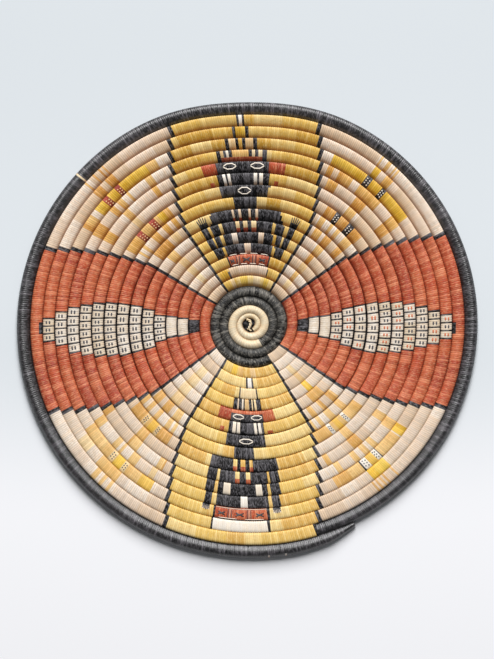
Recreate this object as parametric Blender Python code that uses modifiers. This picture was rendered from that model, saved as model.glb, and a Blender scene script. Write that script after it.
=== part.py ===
"""A round coiled plaque: one spiral bundle of grass, sewn turn to turn with dyed strips of leaf.

The bundle is a single rope that winds outward from a start knot. The sewing around it is modelled
field by field, as a sewer would name them: each field of colour is one closed body of ridged turns,
with a channel in every turn for the bundle, and it keeps a small gap to the fields beside it.
"""

import math

import bmesh
import bpy

# Driving dimensions, in metres
START_RADIUS = 0.0026
FIRST_PITCH = 0.00775
OUTER_PITCH = 0.0107
COIL_HEIGHT = 0.0102
GROOVE_DEPTH = 0.0024
BUNDLE_DIAMETER = 0.0066
CHANNEL_CLEARANCE = 0.0004
FIELD_GAP = 0.0003
KNOT_HEIGHT = 0.0068
KNOT_CLEARANCE = 0.0003
WELD_DISTANCE = 0.00001
LEAST_TUBE_GAP = 0.0004

# The plaque is a little less high than it is wide
OVAL_SHARE = 0.968

# Turns of the coil, counted from the start knot
SETTLED_TURNS = 15
RING_TURN = 2
FIRST_FIELD_TURN = 4
RIM_TURN = 19
TAIL_TURN = 20
LEAN_FIRST_TURN = 10
LEAN_LAST_TURN = 18
TAIL_SHARE = 0.35

# Where the seams and the crown of one turn lie: across it from its middle, in turns
GROOVE_SHARE = 0.5
SHOULDER_SHARE = 0.25

# The knot's outline from its crown down to its flat foot: (share of its radius, share of its height)
KNOT_SHARES = (
    (0.0, 1.0),
    (0.5, 0.98),
    (0.92, 0.8),
    (1.0, 0.62),
    (0.78, 0.48),
    (1.0, 0.34),
    (0.94, 0.12),
    (0.75, 0.0),
    (0.0, 0.0),
)
KNOT_STEPS = 12

# A hexagonal tube with a flat below is this share of its diameter high
HEXAGON_SHARE = math.sqrt(0.75)

# An ear of corn's width on field rows 4 to 14, as shares of its widest row
EAR_FIRST_TURN = 7
EAR_SHARES = (0.72, 0.80, 0.95, 1.0, 0.98, 0.93, 0.86, 0.75, 0.61, 0.46, 0.33)
EAR_HALF_ANGLE = 11.5
EAR_BEARINGS = {"ear_right": -1.6, "ear_left": 182.3}

SMOOTH_ANGLE = math.radians(50)
START_BEARING = -60.0
FULL_TURN = 360.0

# Lines across the coil where a field may end, in the order that the coil meets them:
# name, bearing on the inner rows, bearing on the last row, first and last turn that use the line.
# The lines of an ear follow EAR_SHARES instead, and have a side in place of the bearings.
PATTERN_LINES = (
    ("start_line", -60.0, -72.4, 0, 20),
    ("tail_end", -63.0, -63.0, 19, 20),
    ("lower_right_first_third", -51.7, -56.3, 14, 19),
    ("lower_right_second_third", -43.4, -40.1, 14, 19),
    ("lower_right_to_red", -35.2, -24.0, 2, 19),
    ("ear_right", -1, -1, 0, 19),
    ("ear_right", 1, 1, 2, 19),
    ("red_right_half", 22.7, 14.5, 14, 19),
    ("red_to_upper_right", 35.5, 25.6, 0, 19),
    ("upper_right_first_third", 43.2, 40.7, 14, 19),
    ("upper_right_second_third", 50.8, 55.8, 14, 19),
    ("upper_right_to_yellow", 58.5, 71.0, 2, 19),
    ("top_figure_right", 82.0, 83.0, 0, 19),
    ("top_figure_left", 101.0, 100.5, 2, 19),
    ("yellow_to_upper_left", 123.3, 111.5, 0, 19),
    ("upper_left_first_third", 131.6, 127.3, 14, 19),
    ("upper_left_second_third", 140.0, 143.0, 14, 19),
    ("upper_left_to_red", 148.3, 158.8, 2, 19),
    ("ear_left", -1, -1, 0, 19),
    ("ear_left", 1, 1, 2, 19),
    ("red_to_lower_left", 216.7, 204.7, 0, 19),
    ("lower_left_first_third", 223.9, 219.0, 14, 19),
    ("lower_left_second_third", 231.2, 233.4, 14, 19),
    ("lower_left_to_yellow", 238.4, 247.7, 2, 19),
    ("bottom_figure_left", 258.5, 259.0, 0, 19),
    ("bottom_figure_right", 277.5, 275.5, 2, 19),
)

# Between pattern lines further apart than this on the rim, the rim gets one more line, in degrees
WIDEST_RIM_STEP = 12.0

# Sectors of the pattern, by the line that each begins at
SECTORS = (
    ("start_line", "pale_panel_lower_right"),
    ("lower_right_to_red", "red_wing_right"),
    ("red_to_upper_right", "pale_panel_upper_right"),
    ("upper_right_to_yellow", "yellow_panel_top"),
    ("yellow_to_upper_left", "pale_panel_upper_left"),
    ("upper_left_to_red", "red_wing_left"),
    ("red_to_lower_left", "pale_panel_lower_left"),
    ("lower_left_to_yellow", "yellow_panel_bottom"),
)

# Figures inside a sector: the line that each begins at, its name, its first and last turn
FIGURES = (
    ("ear_right", "corn_ear_right", 7, 17),
    ("top_figure_right", "figure_top", 5, 15),
    ("ear_left", "corn_ear_left", 7, 17),
    ("bottom_figure_left", "figure_bottom", 6, 17),
)

# Colour (linear) and roughness of each sub-part
GRASS = (0.45, 0.31, 0.13, 0.9)
NATURAL = (0.78, 0.64, 0.42, 0.6)
BLACK = (0.028, 0.026, 0.027, 0.5)
RED = (0.43, 0.078, 0.04, 0.6)
YELLOW = (0.68, 0.43, 0.1, 0.6)
PALE = (0.8, 0.66, 0.49, 0.6)
CORN = (0.72, 0.67, 0.58, 0.6)
FIELDS = {
    "start_wrap": NATURAL,
    "ring_wrap": BLACK,
    "pale_panel_lower_right": PALE,
    "red_wing_right": RED,
    "pale_panel_upper_right": PALE,
    "yellow_panel_top": YELLOW,
    "pale_panel_upper_left": PALE,
    "red_wing_left": RED,
    "pale_panel_lower_left": PALE,
    "yellow_panel_bottom": YELLOW,
    "corn_ear_right": CORN,
    "corn_ear_left": CORN,
    "figure_top": BLACK,
    "figure_bottom": BLACK,
    "rim_wrap": BLACK,
}


def limited(value, low, high):
    return max(low, min(high, value))


def ear_share(turn):
    """An ear's width at this turn, between the rows of EAR_SHARES."""
    place = limited(turn - EAR_FIRST_TURN, 0, len(EAR_SHARES) - 1)
    low = min(int(place), len(EAR_SHARES) - 2)
    part = place - low
    return EAR_SHARES[low] * (1 - part) + EAR_SHARES[low + 1] * part


def line_bearing(turn, line):
    """The bearing at which a line crosses a turn, in degrees. It leans on the outer turns."""
    name, inner, outer, _, _ = line
    if name in EAR_BEARINGS:
        return EAR_BEARINGS[name] + inner * EAR_HALF_ANGLE * ear_share(turn)
    row = turn - 1 if name == "start_line" else turn
    lean = limited((row - LEAN_FIRST_TURN) / (LEAN_LAST_TURN - LEAN_FIRST_TURN), 0, 1)
    return inner + (outer - inner) * lean


def with_rim_lines(lines):
    """The pattern's lines, and those that only the rim uses to stay round."""
    full = []
    for line, following in zip(lines, lines[1:] + lines[:1]):
        full.append(line)
        here = line_bearing(RIM_TURN, line)
        there = line_bearing(RIM_TURN, following)
        step = (there - here) % FULL_TURN
        if step > WIDEST_RIM_STEP:
            middle = here + step / 2
            full.append(("rim_half", middle, middle, RIM_TURN, RIM_TURN))
    return full


LINES = with_rim_lines(PATTERN_LINES)
LAST = len(LINES)
NAMES = [line[0] for line in LINES]
START_LINE = NAMES.index("yellow_to_upper_left")


def pitch(turns):
    """The step from one turn to the next, which grows until the coil has settled."""
    left = limited(1 - turns / SETTLED_TURNS, 0, 1)
    return OUTER_PITCH - (OUTER_PITCH - FIRST_PITCH) * left**2


def radius(turns):
    """The coil's middle line: the pitch summed over the turns."""
    left = limited(1 - turns / SETTLED_TURNS, 0, 1)
    lag = (OUTER_PITCH - FIRST_PITCH) * SETTLED_TURNS / 3 * (1 - left**3)
    return START_RADIUS + OUTER_PITCH * turns - lag


def thickness_share(turns):
    """How thick the coil is here, against an outer turn."""
    return pitch(turns) / OUTER_PITCH


def bearing(turn, line):
    """The bearing of a line at a turn, which may lie between two turns, in degrees."""
    if line == LAST:
        return bearing(turn + 1, 0) + FULL_TURN
    return line_bearing(turn, LINES[line])


def turns_at(turn, degrees):
    """Turns wound from the knot, where this turn crosses a bearing."""
    return turn + (degrees - START_BEARING) / FULL_TURN


def plan(turn, degrees, along=0.0, across=0.0):
    """A place on the plaque, moved a little along the coil or across it: (x, y, turns wound)."""
    degrees += math.degrees(along / radius(turns_at(turn, degrees)))
    turns = turns_at(turn, degrees)
    reach = radius(turns) + across
    angle = math.radians(degrees)
    return reach * math.cos(angle), OVAL_SHARE * reach * math.sin(angle), turns


def lines_of(turn):
    """The lines that divide this turn."""
    return [i for i, line in enumerate(LINES) if line[3] <= turn <= line[4]]


def field_at(turn, line):
    """The field that the coil after this line belongs to, or None where there is no coil."""
    if line < 0:
        return field_at(turn - 1, LAST - 1)
    if line >= LAST:
        return field_at(turn + 1, 0)
    line = max([0] + [i for i in lines_of(turn) if i <= line])
    if turn < 0 or (turn == 0 and line < START_LINE):
        return None
    if turn < RING_TURN:
        return "start_wrap"
    if turn < FIRST_FIELD_TURN:
        return "ring_wrap"
    if turn == RIM_TURN or (turn == TAIL_TURN and line == 0):
        return "rim_wrap"
    if turn > RIM_TURN:
        return None
    for name, figure, first, last in FIGURES:
        if NAMES.index(name) == line and first <= turn <= last:
            return figure
    return [name for start, name in SECTORS if NAMES.index(start) <= line][-1]


class FieldMesh:
    """The closed body of one field: ridged turns, with a channel for the bundle in each."""

    def __init__(self, name):
        self.name = name
        self.mesh = bmesh.new()
        self.points = {}

    def point(self, key, place):
        """One vertex for each key, made when it is first asked for."""
        if key not in self.points:
            self.points[key] = self.mesh.verts.new(place)
        return self.points[key]

    def missing(self, turn, line):
        return field_at(turn, line) != self.name

    def groove(self, turn, line, top):
        """A point in the seam outside this turn, drawn back where the field ends."""
        if line == LAST:
            return self.groove(turn + 1, 0, top)
        ahead = 0
        out = 0
        for side_turn, outward in ((turn, 1), (turn + 1, -1)):
            for side_line, onward in ((line - 1, 1), (line, -1)):
                if self.missing(side_turn, side_line):
                    ahead += onward
                    out += outward
        tail = TAIL_SHARE if turn == TAIL_TURN and line > 0 else 1
        place = turn - GROOVE_SHARE + 2 * GROOVE_SHARE * tail
        x, y, turns = plan(
            place,
            bearing(place, line),
            limited(ahead, -1, 1) * FIELD_GAP / 2,
            limited(out, -1, 1) * FIELD_GAP / 2,
        )
        depth = GROOVE_DEPTH * thickness_share(turns)
        height = COIL_HEIGHT * thickness_share(turns)
        return self.point(
            ("groove", turn, line, top),
            (x, y, tail * (height - depth if top else depth)),
        )

    def end_shift(self, turn, line):
        """How far the coil's own points draw back from this line, where the field ends at it."""
        before = self.missing(turn, line - 1)
        after = self.missing(turn, line)
        return (before - after) * FIELD_GAP / 2

    def shoulder(self, turn, line, side, top):
        """An edge of the turn's flat crown or of its flat underside."""
        if line == LAST:
            return self.shoulder(turn + 1, 0, side, top)
        tail = TAIL_SHARE if turn == TAIL_TURN and line > 0 else 1
        place = turn - GROOVE_SHARE + tail * (GROOVE_SHARE + side * SHOULDER_SHARE)
        x, y, turns = plan(place, bearing(place, line), self.end_shift(turn, line))
        height = tail * COIL_HEIGHT * thickness_share(turns)
        return self.point(("shoulder", turn, line, side, top), (x, y, height if top else 0))

    def channel(self, turn, line, side, top):
        """A corner of the channel, square to the coil so that the bundle runs through freely."""
        if line == LAST:
            return self.channel(turn + 1, 0, side, top)
        x, y, z, share = bundle_place(turn, line, self.end_shift(turn, line))
        half_width = share * BUNDLE_DIAMETER / 2 + CHANNEL_CLEARANCE
        half_height = share * HEXAGON_SHARE * BUNDLE_DIAMETER / 2 + CHANNEL_CLEARANCE
        out_x, out_y = outward(turn, line)
        return self.point(
            ("channel", turn, line, side, top),
            (
                x + side * half_width * out_x,
                y + side * half_width * out_y,
                z + half_height if top else z - half_height,
            ),
        )

    def face(self, *corners):
        self.mesh.faces.new(corners)

    def seam(self, turn, first, last):
        """The lines that a seam outside this turn is divided by, between two of them."""
        both = set(lines_of(turn)) | set(lines_of(turn + 1)) | {first, last}
        return sorted(line for line in both if first <= line <= last)

    def skin(self, turn, first, last, top):
        """The upper or the lower skin of one stretch of a turn."""
        inner = [self.groove(turn - 1, line, top) for line in self.seam(turn - 1, first, last)]
        outer = [self.groove(turn, line, top) for line in self.seam(turn, first, last)]
        in_first, in_last = (self.shoulder(turn, line, -1, top) for line in (first, last))
        out_first, out_last = (self.shoulder(turn, line, 1, top) for line in (first, last))
        self.face(*inner, in_last, in_first)
        self.face(in_first, in_last, out_last, out_first)
        self.face(out_first, out_last, *reversed(outer))

    def seam_wall(self, turn, first, last, beyond):
        """Walls down a seam, wherever the turn beyond it belongs to another field."""
        lines = self.seam(turn, first, last)
        for one, other in zip(lines, lines[1:]):
            if self.missing(beyond, one):
                self.face(
                    self.groove(turn, one, True),
                    self.groove(turn, other, True),
                    self.groove(turn, other, False),
                    self.groove(turn, one, False),
                )

    def channel_walls(self, turn, first, last):
        corners = ((-1, True), (1, True), (1, False), (-1, False))
        for one, other in zip(corners, corners[1:] + corners[:1]):
            self.face(
                self.channel(turn, first, *one),
                self.channel(turn, last, *one),
                self.channel(turn, last, *other),
                self.channel(turn, first, *other),
            )

    def end_wall(self, turn, line):
        """The cut across a turn where the field ends, open at the channel."""
        for top in (True, False):
            inner = self.groove(turn - 1, line, top)
            outer = self.groove(turn, line, top)
            near, far = (self.shoulder(turn, line, side, top) for side in (-1, 1))
            near_mouth, far_mouth = (self.channel(turn, line, side, top) for side in (-1, 1))
            self.face(inner, near, near_mouth)
            self.face(near, far, far_mouth, near_mouth)
            self.face(far, outer, far_mouth)
        for side, seam_turn in ((-1, turn - 1), (1, turn)):
            self.face(
                self.groove(seam_turn, line, True),
                self.groove(seam_turn, line, False),
                self.channel(turn, line, side, False),
                self.channel(turn, line, side, True),
            )

    def stretch(self, turn, first, last):
        """All the faces of one stretch of a turn."""
        self.skin(turn, first, last, True)
        self.skin(turn, first, last, False)
        self.seam_wall(turn - 1, first, last, turn - 1)
        self.seam_wall(turn, first, last, turn + 1)
        self.channel_walls(turn, first, last)
        if self.missing(turn, first - 1):
            self.end_wall(turn, first)
        if self.missing(turn, last):
            self.end_wall(turn, last)

    def finish(self):
        """The field as a mesh, with its faces pointing out."""
        for turn in range(TAIL_TURN + 1):
            lines = lines_of(turn) + [LAST]
            for first, last in zip(lines, lines[1:]):
                if not self.missing(turn, first):
                    self.stretch(turn, first, last)
        bmesh.ops.recalc_face_normals(self.mesh, faces=self.mesh.faces)
        mesh = bpy.data.meshes.new(self.name)
        self.mesh.to_mesh(mesh)
        self.mesh.free()
        return mesh


def outward(turn, line):
    """The level direction across the coil at a line, away from the knot."""
    degrees = bearing(turn, line)
    here_x, here_y, _ = plan(turn, degrees)
    there_x, there_y, _ = plan(turn, degrees, 0.0, FIRST_PITCH)
    length = math.hypot(there_x - here_x, there_y - here_y)
    return (there_x - here_x) / length, (there_y - here_y) / length


def bundle_place(turn, line, along=0.0):
    """The bundle's middle where a turn crosses a line, and its thickness there as a share."""
    tail = TAIL_SHARE if turn == TAIL_TURN and line > 0 else 1
    place = turn - GROOVE_SHARE + tail * GROOVE_SHARE
    x, y, turns = plan(place, bearing(turn, line), along)
    share = tail * thickness_share(turns)
    return x, y, share * COIL_HEIGHT / 2, share


def bundle_places():
    """The bundle's places in order, from the start knot to the rim's tail."""
    places = []
    for turn in range(TAIL_TURN + 1):
        for line in lines_of(turn):
            if field_at(turn, line) or field_at(turn, line - 1):
                places.append(bundle_place(turn, line))
    return places


def least_tube_gap(places):
    """The smallest clear distance from the bundle to a neighbouring turn of itself."""
    per_turn = len(lines_of(0)) // 2
    least = math.inf
    for i, (x, y, z, share) in enumerate(places):
        for other_x, other_y, other_z, other_share in places[i + per_turn :]:
            apart = math.dist((x, y, z), (other_x, other_y, other_z))
            least = min(least, apart - (share + other_share) * BUNDLE_DIAMETER / 2)
    return least


def material(name, look):
    red, green, blue, roughness = look
    made = bpy.data.materials.new(name)
    made.use_nodes = True
    shader = made.node_tree.nodes["Principled BSDF"]
    shader.inputs["Base Color"].default_value = (red, green, blue, 1)
    shader.inputs["Roughness"].default_value = roughness
    shader.inputs["Metallic"].default_value = 0
    made.diffuse_color = (red, green, blue, 1)
    return made


def add_object(name, data, look, collection, parent):
    made = bpy.data.objects.new(name, data)
    data.materials.append(material(name, look))
    collection.objects.link(made)
    made.parent = parent
    return made


def make_bundle(collection, parent):
    """The grass bundle: one unbroken tube on a spiral, six-sided, with a flat side down."""
    places = bundle_places()
    curve = bpy.data.curves.new("grass_foundation", "CURVE")
    curve.dimensions = "3D"
    curve.twist_mode = "Z_UP"
    curve.bevel_depth = BUNDLE_DIAMETER / 2
    curve.bevel_resolution = 1
    curve.use_fill_caps = True
    spline = curve.splines.new("POLY")
    spline.points.add(len(places) - 1)
    for point, (x, y, z, share) in zip(spline.points, places):
        point.co = (x, y, z, 1)
        point.radius = share
    gap = least_tube_gap(places)
    verdict = "clear" if gap > LEAST_TUBE_GAP else "too close"
    print(f"grass_foundation: least gap to itself {gap * 1000:.2f} mm, {verdict}")
    return add_object("grass_foundation", curve, GRASS, collection, parent)


def make_knot(collection, parent):
    """The start knot: a turned knob with a flat foot, in the eye of the coil."""
    first, second = [bearing(0, line) for line in lines_of(0) if line >= START_LINE][:2]
    eye = radius(turns_at(-GROOVE_SHARE, first))
    half_step = math.radians(second - first) / 2
    knot_radius = OVAL_SHARE * eye * math.cos(half_step) - KNOT_CLEARANCE
    mesh = bpy.data.meshes.new("start_knot")
    outline = [(knot_radius * out, 0, KNOT_HEIGHT * up) for out, up in KNOT_SHARES]
    mesh.from_pydata(outline, [(i, i + 1) for i in range(len(outline) - 1)], [])
    knot = add_object("start_knot", mesh, NATURAL, collection, parent)
    screw = knot.modifiers.new("turned", "SCREW")
    screw.axis = "Z"
    screw.steps = KNOT_STEPS
    screw.render_steps = KNOT_STEPS
    screw.use_merge_vertices = True
    screw.merge_threshold = WELD_DISTANCE
    screw.use_smooth_shade = True
    return knot


def make_field(name, look, collection, parent):
    """One field of sewing, shaded round over its crowns and sharp in its seams."""
    mesh = FieldMesh(name).finish()
    mesh.shade_smooth()
    mesh.set_sharp_from_angle(angle=SMOOTH_ANGLE)
    return add_object(name, mesh, look, collection, parent)


def main():
    for old in list(bpy.data.objects):
        bpy.data.objects.remove(old, do_unlink=True)
    plaque = bpy.data.collections.new("coiled_plaque")
    bpy.context.scene.collection.children.link(plaque)
    centre = bpy.data.objects.new("plaque_centre", None)
    plaque.objects.link(centre)
    make_bundle(plaque, centre)
    make_knot(plaque, centre)
    for name, look in FIELDS.items():
        make_field(name, look, plaque, centre)


main()
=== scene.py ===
"""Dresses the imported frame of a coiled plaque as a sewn, dyed, handmade basket.

The plaque is sewn here stitch by stitch. A spiral path carries every turn of the coil, a weaver's
chart says which dye each stitch gets, and small motifs are embroidered over the finished turns.
"""

import logging
import math
from collections.abc import Iterable, Iterator
from dataclasses import dataclass, field
from enum import Enum

import bpy
import numpy as np
from numpy.typing import NDArray
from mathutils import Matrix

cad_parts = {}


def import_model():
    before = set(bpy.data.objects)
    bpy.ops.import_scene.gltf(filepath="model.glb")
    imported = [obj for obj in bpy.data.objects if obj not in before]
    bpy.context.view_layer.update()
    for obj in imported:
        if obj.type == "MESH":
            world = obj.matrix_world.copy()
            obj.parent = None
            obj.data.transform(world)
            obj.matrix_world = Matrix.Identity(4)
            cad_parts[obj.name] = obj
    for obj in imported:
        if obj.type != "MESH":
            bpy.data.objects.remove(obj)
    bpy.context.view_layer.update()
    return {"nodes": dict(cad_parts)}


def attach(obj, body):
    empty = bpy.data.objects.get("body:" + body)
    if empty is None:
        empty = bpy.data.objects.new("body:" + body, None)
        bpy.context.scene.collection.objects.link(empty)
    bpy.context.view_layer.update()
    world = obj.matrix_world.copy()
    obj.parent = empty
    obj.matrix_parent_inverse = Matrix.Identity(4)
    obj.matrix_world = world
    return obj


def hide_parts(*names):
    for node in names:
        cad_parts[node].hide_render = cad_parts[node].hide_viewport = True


LOG = logging.getLogger("plaque")
MM = 0.001
BUMP_DEPTH = 0.2 * MM
FULL_TURN = 360.0
# Bearings are degrees from the right, against the clock. Turns are counted from the knot, and
# each begins at the same bearing. The chart's rows are counted from the black ring.
START_BEARING = -60.0
RING_TURN = 2
FIRST_FIELD_TURN = 4
LAST_FIELD_TURN = 18
RIM_TURN = 19
TAIL_TURN = 20
ROW_OFFSET = 3

Array = NDArray[np.float64]
Row = tuple[float, ...]
Point = tuple[float, float, float]
Route = list[tuple[float, float]]


class Dye(Enum):
    """The lots of splint that a stitch can be sewn with."""

    NATURAL = "natural"
    BLACK = "black"
    RED = "red"
    WEATHERED = "weathered"
    FADED = "faded"
    CRIMSON = "crimson"
    YELLOW = "yellow"
    SUNNY = "sunny"
    TAN = "tan"
    OCHRE = "ochre"
    GOLD = "gold"
    PALE = "pale"
    WHITE = "white"
    KERNEL = "kernel"

    @property
    def index(self) -> int:
        """Its place in the list of all dyes."""
        return list(Dye).index(self)


class Motif(Enum):
    """The small figures that are embroidered over finished stitches."""

    DIAMOND = "diamond"
    CROSS = "cross"
    HAND = "hand"
    LINE = "line"
    BROKEN = "broken"
    BAR = "bar"
    DOTS = "dots"
    DASHES = "dashes"
    STROKES = "strokes"


def pairs(one: Array, other: Array) -> Array:
    """Joins two arrays, spread to one shape, into pairs."""
    return np.stack(np.broadcast_arrays(one, other), axis=-1)


def ring_angles(count: int) -> Array:
    """Evenly spread angles once around, in radians."""
    return np.linspace(0, 2 * np.pi, count, endpoint=False)


# ---------------------------------------------------------------- the coil


@dataclass(frozen=True)
class CoilPath:
    """The spiral that the bundle follows, and the rounded section that the sewing gives it."""

    start_radius: float = 2.6 * MM
    first_pitch: float = 7.75 * MM
    outer_pitch: float = 10.7 * MM
    height: float = 10.2 * MM
    oval_share: float = 0.968
    settled_turns: float = 15.0
    overlap: float = 1.05
    # The section of a turn, from the bottom of the plaque up to its top: pressed flat below the
    # middle, round beside it, and tilted outward above it. The heights are sines of the bearing.
    section_heights: Row = (-1.0, -0.5, -0.28, 0.1, 0.5, 1.0)
    bows: Row = (0.06, 0.10, 0.34, 0.36, 0.42, 0.43)
    bow_power: float = 1.6
    crowns: Row = (0.0, 0.0, 0.05, 0.08, 0.5, 0.6)
    inner_shoulders: Row = (8.0, 7.0, 3.6, 3.4, 3.4, 3.4)
    outer_shoulders: Row = (4.5, 4.5, 3.6, 3.4, 9.0, 13.0)
    # How much of the bow is left on the outer side of the crown
    outer_falls: Row = (1.0, 1.0, 1.0, 1.0, 0.0, 0.0)
    # The rim is rounder, with its crest towards the outside, and the first turns are round
    rim_bow: float = 0.42
    rim_crowns: Row = (0.2, 0.25, 0.3, 0.36, 0.4, 0.4)
    rim_inner_shoulders: Row = (5.0, 4.4, 3.2, 2.6, 3.0, 3.6)
    rim_outer_shoulders: Row = (2.4, 2.4, 2.4, 2.5, 3.0, 3.6)
    start_bow: float = 0.42
    start_shoulder: float = 2.7
    under_shoulder: float = 2.4
    # How the hand drifted from an even spiral, in millimetres, after so many turns:
    # all round, to the right, to the top and along the width
    drift_turns: Row = (0.5, 1.1, 2.1, 3.1, 4.1, 7.5, 9.5, 11.5, 13.5, 18.6, 19.2)
    drifts: tuple[Row, ...] = (
        (1.2, 0.3, -0.9, -1.5, -1.8, -1.8, -1.6, -0.5, 0.0, -0.1, -0.5),
        (1.3, 1.4, 1.0, 1.5, 1.7, 1.6, 1.5, 1.4, 1.3, 1.0, 0.9),
        (-0.4, -0.5, -1.0, -0.8, -0.6, 0.0, -0.2, -0.4, -0.5, -1.0, -1.0),
        (0.0, 0.0, 0.0, -0.3, -0.6, -0.6, -0.8, -1.0, -1.2, -1.8, -1.8),
    )
    # The plaque is a little flattened where its top would be
    flat_bearing: float = 91.0
    flat_width: float = 12.0
    flat_depth: float = 3.8 * MM
    flat_turns: Row = (5.0, 18.5)
    start_turns: Row = (0.005, 0.075, 0.17, 0.42, 0.67, 0.82, 0.95, 1.1)
    start_shares: Row = (0.54, 0.68, 0.71, 0.72, 0.68, 0.85, 0.95, 1.0)
    tail_turns: Row = (18.9, 19.05, 19.950, 19.972, 19.993)
    tail_shares: Row = (1.0, 1.1, 1.1, 0.95, 0.45)

    def turns(self, turn: float, degrees: Array) -> Array:
        """Turns wound from the knot, where this turn crosses a bearing."""
        return turn + (np.asarray(degrees) - START_BEARING) / FULL_TURN

    def pitch(self, turns: Array) -> Array:
        """The step from one turn to the next, which grows until the coil has settled."""
        left = np.clip(1 - turns / self.settled_turns, 0, 1)
        return self.outer_pitch - (self.outer_pitch - self.first_pitch) * left**2

    def even_radius(self, turns: Array) -> Array:
        """The pitch summed over the turns."""
        left = np.clip(1 - turns / self.settled_turns, 0, 1)
        lag = (self.outer_pitch - self.first_pitch) * self.settled_turns / 3 * (1 - left**3)
        return self.start_radius + self.outer_pitch * turns - lag

    def share(self, turns: Array) -> Array:
        """How full the coil is here against its own pitch: thin at the start and at the tail."""
        opening = np.interp(turns, self.start_turns, self.start_shares)
        closing = np.interp(turns, self.tail_turns, self.tail_shares)
        return opening * closing

    def drift(self, turns: Array, degrees: Array) -> Array:
        """How far the turn lies outside an even spiral.

        Args:
            turns: turns wound from the knot.
            degrees: the bearing of the same places.

        Returns:
            The distance in metres, negative towards the knot.
        """
        angle = np.radians(degrees)
        waves = (np.ones_like(angle), np.cos(angle), np.sin(angle), np.cos(2 * angle))
        parts = zip(self.drifts, waves)
        away = (np.asarray(degrees) - self.flat_bearing + FULL_TURN / 2) % FULL_TURN - FULL_TURN / 2
        depth = np.interp(turns, self.flat_turns, (0.0, self.flat_depth))
        flat = depth * np.exp(-((away / self.flat_width) ** 2) / 2)
        drifted = sum(np.interp(turns, self.drift_turns, part) * wave for part, wave in parts)
        return MM * drifted - flat

    def middle(self, turns: Array, degrees: Array) -> Array:
        """The distance of the coil's middle from the centre of the plaque."""
        lean = (1 - self.share(turns)) * self.pitch(turns) / 2
        side = np.where(turns < RING_TURN, 1.0, -1.0)
        return self.even_radius(turns) + self.drift(turns, degrees) + side * lean

    def place(self, turn: float, degrees: Array, across: Array, level: Array) -> Array:
        """Points on or near the coil.

        Args:
            turn: the turn counted from the knot.
            degrees: bearings along it.
            across: 0 at the middle, 1 at the outer seam and -1 at the inner one.
            level: 0 half way up, 1 at the crown and -1 underneath.

        Returns:
            An array of positions in metres, one for each bearing.
        """
        turns = self.turns(turn, degrees)
        half_width = self.pitch(turns) / 2 * self.share(turns) * self.overlap
        half_height = self.half_height(turns)
        reach = self.middle(turns, degrees) + across * half_width
        angle = np.radians(degrees)
        x = reach * np.cos(angle)
        y = self.oval_share * reach * np.sin(angle)
        return np.stack([x, y, half_height * (1 + level)], axis=-1)

    def half_height(self, turns: Array) -> Array:
        """Half the coil's thickness."""
        fullness = np.sqrt(np.minimum(self.share(turns), 1))
        return self.height / 2 * self.pitch(turns) / self.outer_pitch * fullness

    def crown_level(self, across: Array, degrees: Array, turn: float = FIRST_FIELD_TURN) -> Array:
        """The level of the upper side at a place across the coil.

        Each turn is drawn over the one before, so above the middle it rises slowly from its
        inner seam and is highest near its outer one. The rim has no turn outside it and is
        rounder, and the first turns are round.

        Args:
            across: places across the coil.
            degrees: the bearing of each place.
            turn: the turn that they are on.

        Returns:
            The level of each place.
        """
        across, height = np.broadcast_arrays(across, np.sin(np.radians(degrees)))

        def read(row: Row) -> Array:
            """A row of the section's values, at these heights."""
            return np.interp(height, self.section_heights, row)

        fall = 1.0
        if turn >= RIM_TURN:
            bow, crown = self.rim_bow, read(self.rim_crowns)
            inner, outer = read(self.rim_inner_shoulders), read(self.rim_outer_shoulders)
        elif turn < FIRST_FIELD_TURN:
            bow, crown = self.start_bow, 0.0
            inner = outer = self.start_shoulder
        else:
            bow, crown = read(self.bows), read(self.crowns)
            inner, outer = read(self.inner_shoulders), read(self.outer_shoulders)
            fall = np.where(across > crown, read(self.outer_falls), 1.0)
        width = np.clip(np.abs(across), 0, 1)
        power = np.where(across < 0, inner, outer)
        bowed = 1 - bow * fall * np.abs(across - crown) ** self.bow_power
        return bowed * (1 - width**power) ** (1 / power)

    def under_level(self, across: Array) -> Array:
        """The level of the underside at a place across the coil."""
        width = np.clip(np.abs(across), 0, 1)
        return -((1 - width**self.under_shoulder) ** (1 / self.under_shoulder))

    def degrees_per_metre(self, turn: float, degrees: float) -> float:
        """How many degrees a metre along the coil spans here."""
        turns = self.turns(turn, degrees)
        return float(np.degrees(1 / self.middle(turns, np.asarray(degrees))))


@dataclass(frozen=True)
class DividingLine:
    """A line across the coil where one field meets the next, at bearings that lean outwards."""

    inner: float
    outer: float
    lean_first: int = 10
    lean_last: int = 18

    def at(self, turn: float) -> float:
        """The bearing where this turn crosses the line."""
        lean = min(max((turn - self.lean_first) / (self.lean_last - self.lean_first), 0), 1)
        return self.inner + (self.outer - self.inner) * lean


@dataclass(frozen=True)
class EarOutline:
    """The two sides of an ear of corn, about its middle bearing."""

    middle: float
    half_angle: float = 11.5
    shares: Row = (0.72, 0.80, 0.95, 1.0, 0.98, 0.93, 0.86, 0.75, 0.61, 0.46, 0.33)
    first_turn: int = 7

    def at(self, turn: float, side: int) -> float:
        """The bearing of one side of the ear at this turn."""
        share = np.interp(turn - self.first_turn, range(len(self.shares)), self.shares)
        return self.middle + side * self.half_angle * float(share)


@dataclass(frozen=True)
class Stretch:
    """A length of one turn that belongs to one field."""

    node: str
    turn: int
    start: float
    end: float


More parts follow.
